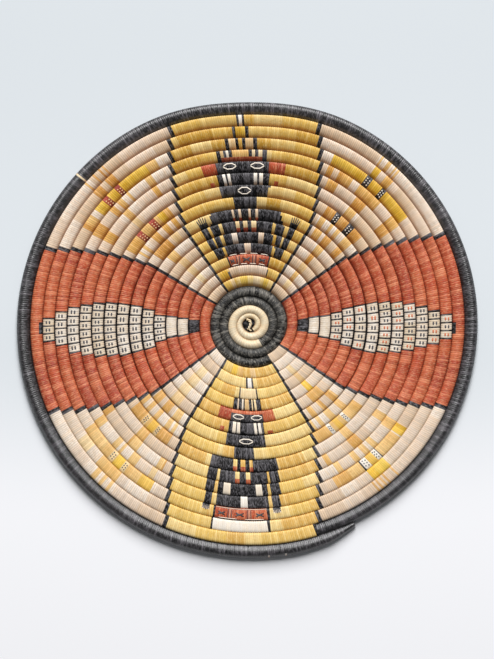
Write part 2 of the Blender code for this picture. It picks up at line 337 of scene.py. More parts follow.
class FieldPlan:
    """Which field every stretch of the coil belongs to."""

    start_line = DividingLine(START_BEARING, -72.4)
    sectors = (
        ("pale_panel_lower_right", start_line),
        ("red_wing_right", DividingLine(-35.2, -24.0)),
        ("pale_panel_upper_right", DividingLine(35.5, 25.6)),
        ("yellow_panel_top", DividingLine(58.5, 71.0)),
        ("pale_panel_upper_left", DividingLine(123.3, 111.5)),
        ("red_wing_left", DividingLine(148.3, 158.8)),
        ("pale_panel_lower_left", DividingLine(216.7, 204.7)),
        ("yellow_panel_bottom", DividingLine(238.4, 247.7)),
    )
    ears = {
        "red_wing_right": ("corn_ear_right", EarOutline(-1.6)),
        "red_wing_left": ("corn_ear_left", EarOutline(182.3)),
    }
    ear_turns = (7, 17)
    top_sides = (DividingLine(82.0, 83.0), DividingLine(101.0, 100.5))
    bottom_sides = (DividingLine(258.5, 259.0), DividingLine(277.5, 275.5))
    # Each figure's name, its two sides, and the first and the last turn that it reaches
    figures = {
        "yellow_panel_top": ("figure_top", *top_sides, 5, 15),
        "yellow_panel_bottom": ("figure_bottom", *bottom_sides, 6, 17),
    }
    first_bearing = -58.0
    tail_bearing = -63.0

    def start_at(self, turn: int) -> float:
        """The bearing where this turn begins."""
        return self.start_line.at(turn - 1)

    def borders(self, turn: int) -> list[float]:
        """The bearings of all dividing lines on a patterned turn, its end included."""
        inner = [line.at(turn) for _, line in self.sectors[1:]]
        return [self.start_at(turn), *inner, self.start_at(turn + 1) + FULL_TURN]

    def middle_part(self, sector: str, turn: int) -> tuple[str, float, float] | None:
        """The figure or ear inside a sector on this turn, with its two bearings."""
        if sector in self.ears and self.ear_turns[0] <= turn <= self.ear_turns[1]:
            name, outline = self.ears[sector]
            return name, outline.at(turn, -1), outline.at(turn, 1)
        if sector in self.figures:
            name, right, left, first, last = self.figures[sector]
            if first <= turn <= last:
                return name, right.at(turn), left.at(turn)
        return None

    def stretches(self) -> Iterator[Stretch]:
        """All stretches of the coil, from the knot to the tail.

        Returns:
            An iterator over the stretches in the order that they are sewn.
        """
        yield Stretch("start_wrap", 0, self.first_bearing, START_BEARING + FULL_TURN)
        for turn in range(1, FIRST_FIELD_TURN):
            name = "start_wrap" if turn < RING_TURN else "ring_wrap"
            yield Stretch(name, turn, START_BEARING, START_BEARING + FULL_TURN)
        for turn in range(FIRST_FIELD_TURN, LAST_FIELD_TURN + 1):
            borders = self.borders(turn)
            for (sector, _), start, end in zip(self.sectors, borders, borders[1:]):
                inside = self.middle_part(sector, turn)
                if inside is None:
                    yield Stretch(sector, turn, start, end)
                    continue
                name, first, last = inside
                yield Stretch(sector, turn, start, first)
                yield Stretch(name, turn, first, last)
                yield Stretch(sector, turn, last, end)
        rim_end = self.start_at(TAIL_TURN) + FULL_TURN
        yield Stretch("rim_wrap", RIM_TURN, self.start_at(RIM_TURN), rim_end)
        yield Stretch("rim_wrap", TAIL_TURN, self.start_at(TAIL_TURN), self.tail_bearing)


# ---------------------------------------------------------------- the weaver's chart


@dataclass(frozen=True)
class Band:
    """A run of stitches in one dye, whose two ends may lean across the coil."""

    dye: Dye
    start: float
    end: float
    start_lean: float = 0.0
    end_lean: float = 0.0
    low: float = -1.0
    high: float = 1.0

    @classmethod
    def read(cls, words: str) -> "Band":
        """Reads one entry of the chart.

        Args:
            words: a dye and two bearings, then perhaps two leans and "inner" or "outer" with a
                share of the coil's width that the run takes up from that side.

        Returns:
            The band.
        """
        dye, start, end, *rest = words.split()
        low, high = -1.0, 1.0
        leans = [0.0, 0.0]
        if "inner" in rest:
            high = -1.0 + 2.0 * float(rest[rest.index("inner") + 1])
            rest = rest[: rest.index("inner")]
        if "outer" in rest:
            low = 1.0 - 2.0 * float(rest[rest.index("outer") + 1])
            rest = rest[: rest.index("outer")]
        if rest:
            leans = [float(word) for word in rest]
        return cls(Dye(dye), float(start), float(end), leans[0], leans[1], low, high)

    def covers(self, degrees: Array, across: Array) -> Array:
        """Which of these places the band covers."""
        after = degrees >= self.start + self.start_lean * across
        before = degrees < self.end + self.end_lean * across
        return after & before & (across >= self.low) & (across <= self.high)


def read_chart(text: str) -> dict[int, list[Band]]:
    """Reads a chart of bands.

    Args:
        text: one line for each row, its number first, with its bands parted by commas.

    Returns:
        The bands of each turn of the coil, in the order that they are laid over one another.
    """
    chart: dict[int, list[Band]] = {}
    for line in text.strip().splitlines():
        row, entries = line.strip().split(" ", 1)
        bands = [Band.read(entry) for entry in entries.split(",")]
        chart.setdefault(int(row) + ROW_OFFSET, []).extend(bands)
    return chart


# Each line: a row counted from the black ring, then its runs of stitches by bearing.
TOP_FIGURE = """
1 tan 76 85, tan 108 113, sunny 66 72, sunny 92 101
2 black 70.9 111.3 0.9 -0.9, pale 72 110 0.9 -0.9, sunny 112 119
3 black 72.6 108.2, red 73.8 107
4 black 65 115.3, yellow 71.2 73.4 0.85 0.75, pale 88.8 93.4, yellow 107.1 109 -0.55 -1.1
5 black 64.4 116.4, yellow 68.3 69.5 -0.4 0.4, yellow 73 74.9 1 0.85, pale 80.8 84.2
5 pale 97.4 101, yellow 106 108.1 -0.35 -0.6, yellow 111.6 112.6 -0.4 0.4
6 black 64.4 116.5, yellow 67.9 70.2 -0.2 0.6, yellow 75.3 77 0.55 0.4, tan 86 88.8
6 tan 90.9 93.4, tan 95.4 97.5, red 86 88.8 inner 0.45, red 90.9 93.4 inner 0.45
6 red 95.4 97.5 inner 0.45, yellow 105 106.8 -0.45 -0.15, yellow 111.4 112.9 -0.4 0
7 black 73.4 109.8 1.3 -0.8, pale 85.5 86.9, pale 89.2 90.4, pale 94 95.4, pale 97.5 98.6
7 red 85.5 86.9 inner 0.35, red 89.2 90.4 inner 0.35, red 94 95.4 inner 0.35
7 red 97.5 98.6 inner 0.35, black 64.4 68.5 inner 0.42, black 112.2 116.6 inner 0.42
8 black 86.6 97
9 black 82 102 -0.4 0.2
10 black 82.5 102, white 84.8 86.2, white 87 88.3, white 97 98.1, white 98.8 99.9
10 red 78.8 80.4 inner 0.4, red 103.5 105.2 inner 0.4
11 red 77.3 83.1, black 83.1 101.6, red 101.6 106.6
12 black 84.2 100.6, tan 85.7 87, tan 88.1 89.1, ochre 90.2 95.6, white 96.7 97.5
12 tan 98.4 99.4, red 85.6 99.4 inner 0.5
13 black 87.6 88.8, tan 88.8 91.1, black 91.2 92.2, black 93.3 94.2, tan 94.2 96.3, black 96.3 97.4
14 black 90.2 91.2, sunny 91.2 94, black 94 94.9
15 black 91.4 93.5, white 92 92.9
"""

BOTTOM_FIGURE = """
1 tan 271 277, ochre 258 263, sunny 250 256
2 black 266.9 273.6 -0.6 0.4, white 268.5 272.1 -0.5 0.4
3 black 262 276.4 -0.4 0.3, tan 263 275.4 -0.3 0.2
4 black 259.1 277.9, pale 261.8 262.9 -0.4 -0.6, white 264.9 266 -0.2 -0.4
4 tan 266.9 269.8, tan 271.6 272.4 0.3 0.2, tan 273.4 274.8 -0.2 0
5 red 251.5 284.8, black 259 278, red 259 278 inner 0.28
6 black 259 277.7, white 261.1 262.9, white 263.4 265.1, white 272.6 274, white 274.8 276.4
6 red 254.6 256.8 outer 0.4, red 279.2 281.8 outer 0.35
7 black 259 277.5
8 black 263.5 272
9 black 254.7 281, yellow 263.7 265.3, yellow 266.6 268.5, yellow 270.1 271.4
9 red 263.7 265.3 outer 0.45, red 266.6 268.5 outer 0.45, red 270.1 271.4 outer 0.45
10 black 254.8 280.7, yellow 258.3 259.3, yellow 276.5 277.3, yellow 264.9 266.5
10 yellow 268.8 270.4, red 264.9 266.5 outer 0.45, red 268.8 270.4 outer 0.45
11 black 255.3 280.3, yellow 258.3 259.4, yellow 276.1 277.1, white 261.3 263.7, white 272.2 274.3
12 black 256 279.6, yellow 258.2 259.7, yellow 276 277.1, white 267.3 269.5
13 pale 255.9 258.2 inner 0.48, pale 277.1 279.4 inner 0.48, black 259.4 275.9, red 260 275.2
13 black 255.9 258.2 inner 0.14, black 277.1 279.4 inner 0.14
14 black 259.4 275.6, white 259.9 275
"""

UPPER_LEFT = """
15 ochre 131.8 132.3, ochre 133.1 133.6, ochre 135.1 135.7, ochre 138.1 138.7
14 ochre 131.5 134.3, ochre 136.2 139
13 ochre 119 122.5, gold 122.5 142.5, crimson 132.2 134, crimson 137 139, ochre 144.5 149
12 ochre 122.5 125, ochre 131.5 132.5, ochre 134.5 136.5, ochre 138 140, ochre 145 149.5
11 ochre 123 125, ochre 135.5 138, ochre 145.5 149.3
10 tan 135.5 138
9 ochre 124 148, crimson 131.2 134, crimson 138.3 141, gold 126.5 129.5
8 ochre 124 126.3, ochre 128.5 131.2, ochre 134 137.5, ochre 142 143.5, ochre 145.3 146.5
7 tan 127 131, ochre 133 143
6 ochre 134.5 140
5 tan 133 138
4 tan 133 138.3
3 tan 133 138
"""

LOWER_LEFT = """
15 ochre 224.5 226, ochre 227.3 228.3, ochre 229.7 230.6
14 tan 215 219, ochre 223 230.5
13 ochre 213.5 240, tan 224.1 225.9, sunny 226.2 229, tan 229 230.6, gold 235.5 240
12 ochre 212.8 215.5, ochre 222 224, ochre 225 226, ochre 229 232, tan 237 239
11 ochre 211 213.5, ochre 225 229.3, ochre 237.5 240
10 ochre 225 228.8
9 ochre 216.5 236.5, tan 222.6 224.6, tan 229.4 230.9, gold 226 229
8 ochre 216 218, ochre 220 222, ochre 224.7 227, ochre 231 233.3, ochre 234.5 236
7 ochre 218 222, ochre 224.5 228.5, ochre 231 235
6 tan 224 230
5 tan 223 229.5
4 tan 223 230
3 tan 223 230
"""

LOWER_RIGHT = """
15 ochre -53.3 -52.8, ochre -52.1 -51.6, ochre -50.8 -50.3, ochre -49.6 -49.1, ochre -46.6 -46.1
14 sunny -52.3 -46
13 ochre -62.5 -38, white -52.3 -50, gold -50 -47.5, white -47.5 -46, sunny -37.5 -34.5
13 black -52.6 -52.1, black -46.2 -45.7
12 ochre -60 -58, ochre -53.5 -51.5, ochre -49.5 -47.5, ochre -46 -44, ochre -38 -34.5
11 ochre -62 -60, ochre -51 -47, ochre -37.5 -34.5
10 ochre -51 -47.5
9 ochre -61 -37, white -53.9 -52.2, white -46 -44.3, gold -50.5 -48
8 ochre -60 -58, ochre -56 -54, ochre -51 -47.7, ochre -44 -41
7 ochre -57 -54, ochre -50.5 -48, ochre -44 -40
6 ochre -52 -43.5
5 sunny -50 -46
4 tan -50 -46
3 tan -51 -46
"""

UPPER_RIGHT = """
15 ochre 46.2 46.8, ochre 47.3 47.8, ochre 49.1 50.2, ochre 51.8 52.3
14 ochre 45.5 48, gold 50 52
13 gold 34.8 64, black 44.8 46.4, black 50.2 52.3
12 ochre 34 38, ochre 43.5 52.3, ochre 55 60, ochre 62 64
11 ochre 33.9 37.8, ochre 46.2 50.6, ochre 58.2 62
10 ochre 46.7 50.4
9 ochre 38.5 57, black 43.1 46, black 50.3 52.7
8 ochre 38.7 43, ochre 46 48, ochre 50 51.5, ochre 54.3 57
7 ochre 38.5 42, ochre 46 50, ochre 52 56
6 ochre 45.5 50
5 ochre 46.5 49.6
4 tan 45 50
3 ochre 45.5 49.5
2 tan 44 50
"""

# Ears of corn: row, first and last bearing, and the mark on each kernel (r red, k black, w bare).
RIGHT_EAR = """
14 -4.2 2.5 rkr
13 -6.1 3.9 rrkk
12 -7.6 5.6 kkkkk
11 -9.4 6.9 rrkkrr
10 -11 8.1 kkkrrrr
9 -12.2 8.9 rrrrkkk
8 -13.2 9.4 kkkrk
7 -13.2 9.3 rkkkr
6 -12.5 8.8 kkrrk
5 -10.3 7 rkrk
4 -10.1 5.5 w
3 -8 5.4 w
"""
LEFT_EAR = """
14 178.7 184.9 kkk
13 176.5 186.4 kkkk
12 174.8 189.3 kkkkk
11 173.5 190.7 kkkkkk
10 172.2 192.3 kkkkkkk
9 171.5 193 kkkkkkk
8 171.2 194.1 kkkkk
7 171.2 193.8 kkkkk
6 172.3 193.7 kkkkk
5 175.1 190.7 kkkk
4 175.2 189 w
3 175.9 189.4 w
"""
EAR_BASES = "2 black -8.5 5.6, black 175.8 189.4"
EAR_TIPS = "15 black -2.8 0.5 inner 0.3, black 179.7 183 inner 0.25"
# Pale marks in the rim, which is row 16: one all across, and three short marks at its outer edge
RIM_PALE_MARKS = """
16 natural 137.8 138.3, white 274.4 274.8 outer 0.225
16 white 278.5 278.9 outer 0.2, tan 288.5 289 outer 0.5
"""

# Motifs: kind, dye, row, two bearings, and the two places across the coil that they lie between.
MOTIFS = """
diamond white 9 89.3 94.8 -0.45 0.55
diamond white 11 84.8 89.6 -0.15 0.68
diamond white 11 94.6 99.2 -0.15 0.68
diamond white 7 265.2 271.8 -0.34 0.4
diamond white 5 260.2 266.9 -0.2 0.5
diamond white 5 271 277.5 -0.2 0.5
strokes black 3 83.6 88.2 -0.75 0.85
strokes black 3 97.3 101.9 -0.75 0.85
bar pale 3 83.6 88.2 -0.7 0.8
bar pale 3 97.3 101.9 -0.7 0.8
cross black 3 76.4 81.6 -0.2 0.35
cross black 3 89.4 95.6 -0.25 0.4
cross black 3 102.8 106.2 -0.2 0.35
cross black 13 260.8 262.9 -0.25 0.25
cross black 13 266 268.4 -0.25 0.25
cross black 13 271.9 274.2 -0.25 0.25
strokes black 13 263.4 265.2 -0.85 0.85
strokes black 13 269 270.8 -0.85 0.85
bar pale 13 263.4 265.2 -0.85 0.8
bar pale 13 269 270.8 -0.85 0.8
broken white 4 74 106.8 -0.74 -0.74
broken white 3 74.4 106.9 -0.62 -0.62
line black 3 74 107.4 -0.86 -0.86
line pale 13 260 275.3 -0.86 -0.86
broken white 13 260 275.3 0.72 0.72
line black 13 260 275.3 0.9 0.9
hand black 7 64.4 68.5 -0.25 0.85
hand black 7 112.2 116.6 -0.25 0.85
hand black 13 256.1 258 -0.8 -0.1
hand black 13 277.3 279.2 -0.8 -0.1
dots tan 13 132.2 134 -0.6 0.6
dots tan 13 137 139 -0.6 0.6
dots tan 9 131.2 134 -0.6 0.6
dots tan 9 138.3 141 -0.6 0.6
dots white 13 44.8 46.4 -0.45 0.75
dots white 13 50.2 52.3 -0.45 0.75
dots white 9 43.1 46 -0.45 0.75
dots white 9 50.3 52.7 -0.45 0.75
dots black 13 -52.0 -50.1 -0.7 0.7
dots black 13 -47.6 -46.2 -0.7 0.7
dots black 9 -53.9 -52.2 -0.55 0.55
dots black 9 -46 -44.3 -0.55 0.55
dots black 13 224.1 225.9 -0.6 0.6
dots black 13 229 230.6 -0.6 0.6
dots black 9 222.6 224.6 -0.55 0.55
dots black 9 229.4 230.9 -0.55 0.55
"""


class WeaverChart:
    """All bands of dye over the whole plaque, turn by turn."""

    line_rows: tuple[int, ...] = (1, 6, 15)
    line_widths: Row = (2.0 * MM, 2.6 * MM, 3.6 * MM)
    kernel_line: float = 1.35 * MM
    kernel_edge: float = 0.19

    def __init__(self, path: CoilPath, plan: FieldPlan) -> None:
        """Gathers the charts of all fields.

        Args:
            path: the coil, which turns widths into degrees.
            plan: the fields, whose borders are sewn in black.
        """
        self.path = path
        self.bands: dict[int, list[Band]] = {}
        self.kernels: list[tuple[int, float, float, str]] = []
        panels = (UPPER_LEFT, LOWER_LEFT, LOWER_RIGHT, UPPER_RIGHT)
        for text in (TOP_FIGURE, BOTTOM_FIGURE, *panels, EAR_BASES, EAR_TIPS, RIM_PALE_MARKS):
            for turn, bands in read_chart(text).items():
                self.lay(turn, *bands)
        self.add_ear(RIGHT_EAR)
        self.add_ear(LEFT_EAR)
        self.add_borders(plan)

    def lay(self, turn: int, *bands: Band) -> None:
        """Lays bands over what a turn has."""
        self.bands.setdefault(turn, []).extend(bands)

    def add_borders(self, plan: FieldPlan) -> None:
        """Sews the black stitches where two fields meet."""
        for turn in range(FIRST_FIELD_TURN, LAST_FIELD_TURN + 1):
            borders = plan.borders(turn)
            ends = borders[1 if turn == FIRST_FIELD_TURN else 0 :]
            for bearing in ends:
                width = float(np.interp(turn - ROW_OFFSET, self.line_rows, self.line_widths))
                half = width / 2 * self.path.degrees_per_metre(turn, bearing)
                self.lay(turn, Band(Dye.BLACK, bearing - half, bearing + half))

    def add_ear(self, text: str) -> None:
        """Sews the kernels of an ear, parted by single black stitches.

        Args:
            text: the ear's rows, as RIGHT_EAR gives them.
        """
        for line in text.strip().splitlines():
            row, start, end, marks = line.split()
            turn = int(row) + ROW_OFFSET
            first, last = float(start), float(end)
            seam = self.kernel_line * self.path.degrees_per_metre(turn, first)
            step = (last - first + seam) / len(marks)
            edge = self.kernel_edge
            self.lay(turn, Band(Dye.BLACK, first - seam, last + seam))
            for i, mark in enumerate(marks):
                left = first + i * step
                right = left + step - seam
                self.lay(turn, Band(Dye.KERNEL, left, right, low=-1 + edge, high=1 - edge))
                if mark != "w":
                    self.kernels.append((turn, left, right, mark))

    def breaks(self, stretch: Stretch) -> list[float]:
        """The bearings inside a stretch where the dye changes, its two ends included."""
        cuts = {stretch.start, stretch.end}
        for band in self.bands.get(stretch.turn, []):
            cuts.update(cut for cut in (band.start, band.end) if stretch.start < cut < stretch.end)
        return sorted(cuts)

    def dyes(self, turn: int, degrees: Array, across: Array, ground: Dye) -> NDArray[np.int64]:
        """The dye of each place on a turn.

        Args:
            turn: the turn of the coil.
            degrees: the bearing of each place.
            across: how far across the coil each place lies, from -1 to 1.
            ground: the field's own dye.

        Returns:
            The index of each place's dye in the list of all dyes.
        """
        found = np.full(degrees.shape, ground.index)
        for band in self.bands.get(turn, []):
            found[band.covers(degrees, across)] = band.dye.index
        return found


# ---------------------------------------------------------------- finishes


def linear(code: str) -> tuple[float, float, float, float]:
    """The linear colour of a six-digit colour code, with full alpha."""
    parts = [int(code[i : i + 2], 16) / 255 for i in (0, 2, 4)]
    red, green, blue = [p / 12.92 if p <= 0.04045 else ((p + 0.055) / 1.055) ** 2.4 for p in parts]
    return red, green, blue, 1.0


class NodeSheet:
    """Builds the nodes of one tree, with a short call for each kind that the finishes use."""

    def __init__(self, tree: bpy.types.NodeTree) -> None:
        """Starts on an empty or a fresh tree."""
        self.tree = tree

    def node(self, kind: str, **settings: object) -> bpy.types.Node:
        """Adds a node and sets its plain properties."""
        made = self.tree.nodes.new(kind)
        for name, value in settings.items():
            setattr(made, name, value)
        return made

    def feed(self, socket: bpy.types.NodeSocket, value: object) -> None:
        """Links a socket into another, or sets its plain value."""
        if isinstance(value, bpy.types.NodeSocket):
            self.tree.links.new(value, socket)
        else:
            socket.default_value = value

    def math(self, operation: str, *values: object, clamp: bool = False) -> bpy.types.NodeSocket:
        """A Math node over numbers or sockets."""
        made = self.node("ShaderNodeMath", operation=operation, use_clamp=clamp)
        for socket, value in zip(made.inputs, values):
            self.feed(socket, value)
        return made.outputs[0]

    def times(self, one: object, other: object) -> bpy.types.NodeSocket:
        """One number times another."""
        return self.math("MULTIPLY", one, other)

    def ramp(self, value: object, *limits: float) -> bpy.types.NodeSocket:
        """Maps a value between two limits to between two more, smoothly and clamped."""
        made = self.node("ShaderNodeMapRange", interpolation_type="SMOOTHSTEP")
        for socket, entry in zip(made.inputs, (value, *limits)):
            self.feed(socket, entry)
        return made.outputs[0]

    def mix(self, share: object, *colours: object, blend: str = "MIX") -> bpy.types.NodeSocket:
        """Mixes two colours."""
        made = self.node("ShaderNodeMix", data_type="RGBA", blend_type=blend)
        for label, value in zip(("Factor_Float", "A_Color", "B_Color"), (share, *colours)):
            self.feed(next(socket for socket in made.inputs if socket.identifier == label), value)
        return next(socket for socket in made.outputs if socket.identifier == "Result_Color")

    def vector(self, *parts: object) -> bpy.types.NodeSocket:
        """Joins three numbers into a vector."""
        made = self.node("ShaderNodeCombineXYZ")
        for socket, value in zip(made.inputs, parts):
            self.feed(socket, value)
        return made.outputs[0]

    def split(self, value: bpy.types.NodeSocket) -> tuple[bpy.types.NodeSocket, bpy.types.NodeSocket]:
        """The first two numbers of a vector."""
        made = self.node("ShaderNodeSeparateXYZ")
        self.feed(made.inputs[0], value)
        return made.outputs[0], made.outputs[1]

    def noise(self, place: object, scale: float, detail: float) -> bpy.types.NodeSocket:
        """Noise over a vector, from 0 to 1."""
        made = self.node("ShaderNodeTexNoise")
        self.feed(made.inputs["Vector"], place)
        made.inputs["Scale"].default_value = scale
        made.inputs["Detail"].default_value = detail
        return made.outputs[0]

    def attribute(self, name: str) -> bpy.types.NodeSocket:
        """A number that the mesh carries."""
        return self.node("ShaderNodeAttribute", attribute_name=name).outputs["Fac"]

    def stitch_place(self) -> tuple[bpy.types.NodeSocket, bpy.types.NodeSocket]:
        """How far along the coil and around its section a place lies, counted in stitches."""
        return self.split(self.node("ShaderNodeUVMap", uv_map="stitch").outputs[0])

    def bump(self, height: bpy.types.NodeSocket, strength: float) -> bpy.types.NodeSocket:
        """The normals of a surface with this height."""
        made = self.node("ShaderNodeBump")
        made.inputs["Strength"].default_value = strength
        made.inputs["Distance"].default_value = BUMP_DEPTH
        self.feed(made.inputs["Height"], height)
        return made.outputs["Normal"]


def new_finish(name: str) -> tuple[bpy.types.Material, NodeSheet, bpy.types.NodeInputs]:
    """A new material, the sheet of its nodes, and its shader's inputs."""
    made = bpy.data.materials.new(name)
    made.use_nodes = True
    return made, NodeSheet(made.node_tree), made.node_tree.nodes["Principled BSDF"].inputs


COLOUR = "NodeSocketColor"
NUMBER = "NodeSocketFloat"


class GroupSheet(NodeSheet):
    """Builds a shader node group with named sockets."""

    def __init__(self, name: str, inputs: dict[str, str], outputs: dict[str, str]) -> None:
        """Makes the group.

        Args:
            name: the group's name.
            inputs: the kind of each input socket by its name.
            outputs: the kind of each output socket by its name.
        """
        super().__init__(bpy.data.node_groups.new(name, "ShaderNodeTree"))
        for side, sockets in (("INPUT", inputs), ("OUTPUT", outputs)):
            for label, kind in sockets.items():
                self.tree.interface.new_socket(label, in_out=side, socket_type=kind)
        self.given = self.node("NodeGroupInput").outputs
        self.result = self.node("NodeGroupOutput").inputs

    def put_out(self, **values: bpy.types.NodeSocket) -> bpy.types.NodeTree:
        """Links the results to the sockets of the same names, and gives the finished tree."""
        for label, value in values.items():
            self.feed(self.result[label], value)
        return self.tree


class EffectGroups:
    """The effects that several finishes share, each built once as a node group."""

    # How far apart the patterns of two splints lie
    tone_step = 57.0
    # How fibres, hairs and cloudy patches are stretched along the coil and around it
    fibre_stretch = (1.4, 0.17)
    hair_stretch = (9.0, 0.45)
    patch_stretch = (0.4, 0.4)
    # The scale and the detail of each pattern
    fibre_noise = (1.6, 3.0)
    hair_noise = (1.3, 2.0)
    patch_noise = (0.8, 2.0)
    cloud_noise = (90.0, 3.0)
    # Each effect: between which two values it comes in, and from what to what it then goes
    light_lots: Row = (0.55, 0.8, 0.0, 1.0)
    deep_lots: Row = (0.45, 0.2, 0.0, 1.0)
    odd_tones: Row = (0.55, 1.0, 0.0, 1.0)
    streaks: Row = (0.48, 0.64, 0.0, 1.0)
    patches: Row = (0.5, 0.75, 0.0, 0.55)
    # Painted shade towards the two sides of each stitch
    edges: Row = (0.30, 0.5, 0.0, 1.0)
    hairs: Row = (0.2, 0.8, 0.88, 1.12)
    rough_fibres: Row = (0.3, 0.7, -0.06, 0.12)
    # The seams get painted shade as well as dust, fading out as the section rises
    dust_and_shade_rises: Row = (0.35, 0.88, 1.0, 0.0)
    hair_height = 0.5
    cloud_share = 0.16

    def __init__(self) -> None:
        """Builds all groups."""
        self.fibre = self.splint_fibre()
        self.groove = self.groove_dust_and_shade()

    def splint_fibre(self) -> bpy.types.NodeTree:
        """A split leaf: dye that took unevenly, lengthwise fibres, and painted shade at each stitch's
        edges.

        Returns:
            The group, which puts out a colour, a roughness and a height.
        """
        inputs = dict.fromkeys(SplintFinish.colour_sockets, COLOUR)
        inputs |= dict.fromkeys(SplintFinish.share_sockets, NUMBER)
        outputs = {"Color": COLOUR, "Roughness": NUMBER, "Height": NUMBER}
        sheet = GroupSheet("splint_fibre", inputs, outputs)
        given = sheet.given
        along, around = sheet.stitch_place()
        tone = sheet.attribute("tone")
        lot = sheet.attribute("lot")
        seed = sheet.times(tone, self.tone_step)

        def pattern(stretch: Row, noise: Row, apart: bpy.types.NodeSocket) -> bpy.types.NodeSocket:
            """Noise stretched over the splints, set apart from other places by a number."""
            spot = sheet.vector(sheet.times(along, stretch[0]), sheet.times(around, stretch[1]), apart)
            return sheet.noise(spot, *noise)

        # The fibres differ from stitch to stitch, and the cloudy patches from lot to lot
        fibre = pattern(self.fibre_stretch, self.fibre_noise, seed)
        hair = pattern(self.hair_stretch, self.hair_noise, seed)
        patch = pattern(self.patch_stretch, self.patch_noise, lot)

        # Whole lots took more or less dye, and so did patches and single splints
        light = sheet.times(sheet.ramp(lot, *self.light_lots), given["Lot Share"])
        deep = sheet.times(sheet.ramp(lot, *self.deep_lots), given["Lot Share"])
        odd = sheet.times(sheet.ramp(tone, *self.odd_tones), given["Odd Share"])
        streak = sheet.times(sheet.ramp(fibre, *self.streaks), given["Streak Share"])
        colour = sheet.mix(light, given["Base"], given["Light"])
        colour = sheet.mix(deep, colour, given["Deep"])
        colour = sheet.mix(sheet.ramp(patch, *self.patches), colour, given["Deep"])
        colour = sheet.mix(odd, colour, given["Streak"])
        colour = sheet.mix(streak, colour, given["Streak"])

        # Each splint has its own tone and fine hairs, and painted shade darkens its edges where it meets
        # the next stitch
        shift = sheet.times(sheet.math("SUBTRACT", tone, 0.5), given["Tone Share"])
        from_middle = sheet.math("ABSOLUTE", sheet.math("SUBTRACT", sheet.math("FRACT", along), 0.5))
        edge = sheet.ramp(from_middle, *self.edges)
        shade = sheet.math("SUBTRACT", 1.0, sheet.times(edge, given["Edge Shade Share"]))
        level = sheet.times(sheet.math("ADD", 1.0, shift), sheet.ramp(hair, *self.hairs))
        level = sheet.times(level, shade)
        colour = sheet.mix(1.0, colour, sheet.vector(level, level, level), blend="MULTIPLY")

        rough = sheet.math("ADD", given["Gloss"], sheet.ramp(fibre, *self.rough_fibres))
        height = sheet.math("ADD", sheet.times(hair, self.hair_height), fibre)
        return sheet.put_out(Color=colour, Roughness=rough, Height=height)

    def groove_dust_and_shade(self) -> bpy.types.NodeTree:
        """Dust and painted shade, darker low in the seams between two turns.

        Returns:
            The group, which puts out the colour with its dust and painted shade.
        """
        inputs = {"Color": COLOUR, "Dust And Shade": COLOUR, "Amount": NUMBER}
        sheet = GroupSheet("groove_dust_and_shade", inputs, {"Color": COLOUR})
        clean, dust_and_shade, amount = (sheet.given[label] for label in inputs)
        spot = sheet.node("ShaderNodeTexCoord").outputs["Object"]
        cloud = sheet.times(sheet.noise(spot, *self.cloud_noise), self.cloud_share)
        level = sheet.math("ADD", sheet.attribute("rise"), cloud)
        # Low places in the seams are darkened by dust and painted shade together
        share = sheet.times(sheet.ramp(level, *self.dust_and_shade_rises), amount)
        dusted_and_shaded = sheet.mix(1.0, clean, dust_and_shade, blend="MULTIPLY")
        return sheet.put_out(Color=sheet.mix(share, clean, dusted_and_shaded))


@dataclass(frozen=True)
class SplintFinish:
    """One lot of dyed splints: its colours, how streaky it is and how it shines."""

    colour_sockets = ("Base", "Light", "Deep", "Streak")
    share_sockets = ("Streak Share", "Lot Share", "Tone Share", "Odd Share", "Edge Shade Share", "Gloss")

    name: str
    # The codes of its own colour, of a light and of a deep lot, and of its streaks
    colours: str
    streak_share: float = 0.3
    lot_share: float = 0.9
    tone_share: float = 0.18
    odd_share: float = 0.25
    edge_shade_share: float = 0.2
    gloss: float = 0.5
    specular: float = 0.4
    # The colour and the amount of dust and painted shade in the seams
    dust_and_shade: str = "a07850"
    dust_and_shade_amount: float = 0.75
    bump: float = 0.35

    def material(self, groups: EffectGroups) -> bpy.types.Material:
        """Makes the finish as a material.

        Args:
            groups: the shared effects.

        Returns:
            The material.
        """
        made, sheet, shader = new_finish(self.name)
        fibre = sheet.node("ShaderNodeGroup", node_tree=groups.fibre)
        for label, code in zip(self.colour_sockets, self.colours.split()):
            fibre.inputs[label].default_value = linear(code)
        shares = (self.streak_share, self.lot_share, self.tone_share, self.odd_share, self.edge_shade_share)
        for label, share in zip(self.share_sockets, (*shares, self.gloss)):
            fibre.inputs[label].default_value = share
        groove = sheet.node("ShaderNodeGroup", node_tree=groups.groove)
        groove.inputs["Dust And Shade"].default_value = linear(self.dust_and_shade)
        groove.inputs["Amount"].default_value = self.dust_and_shade_amount
        sheet.feed(groove.inputs["Color"], fibre.outputs["Color"])
        sheet.feed(shader["Base Color"], groove.outputs["Color"])
        sheet.feed(shader["Roughness"], fibre.outputs["Roughness"])
        sheet.feed(shader["Normal"], sheet.bump(fibre.outputs["Height"], self.bump))
        shader["Specular IOR Level"].default_value = self.specular
        return made


# Each line: a dye, its four colours, its streak share and edge shade share, its dust and painted shade and
# how much of it. The upper lots are darker than the lower ones, partly in dye and partly as painted shade.
UPPER_SHADED_LOTS = """
yellow deb254 e6c684 ca9834 f0d898 0.35 0.2 96682a 0.75
sunny deae34 e4be56 ce9a26 eaca6e 0.3 0.4 96682a 0.75
tan e4c490 ecd2a6 d8b078 f0deb8 0.3 0.2 96682a 0.75
ochre dca450 e4b66e cc8c38 ecca90 0.3 0.4 96682a 0.75
gold daa82c e2b642 cc941c e8c668 0.3 0.4 96682a 0.75
pale e8d0b9 f0dfcd dcbf9f d0ab84 0.4 0.34 98785e 0.75
"""
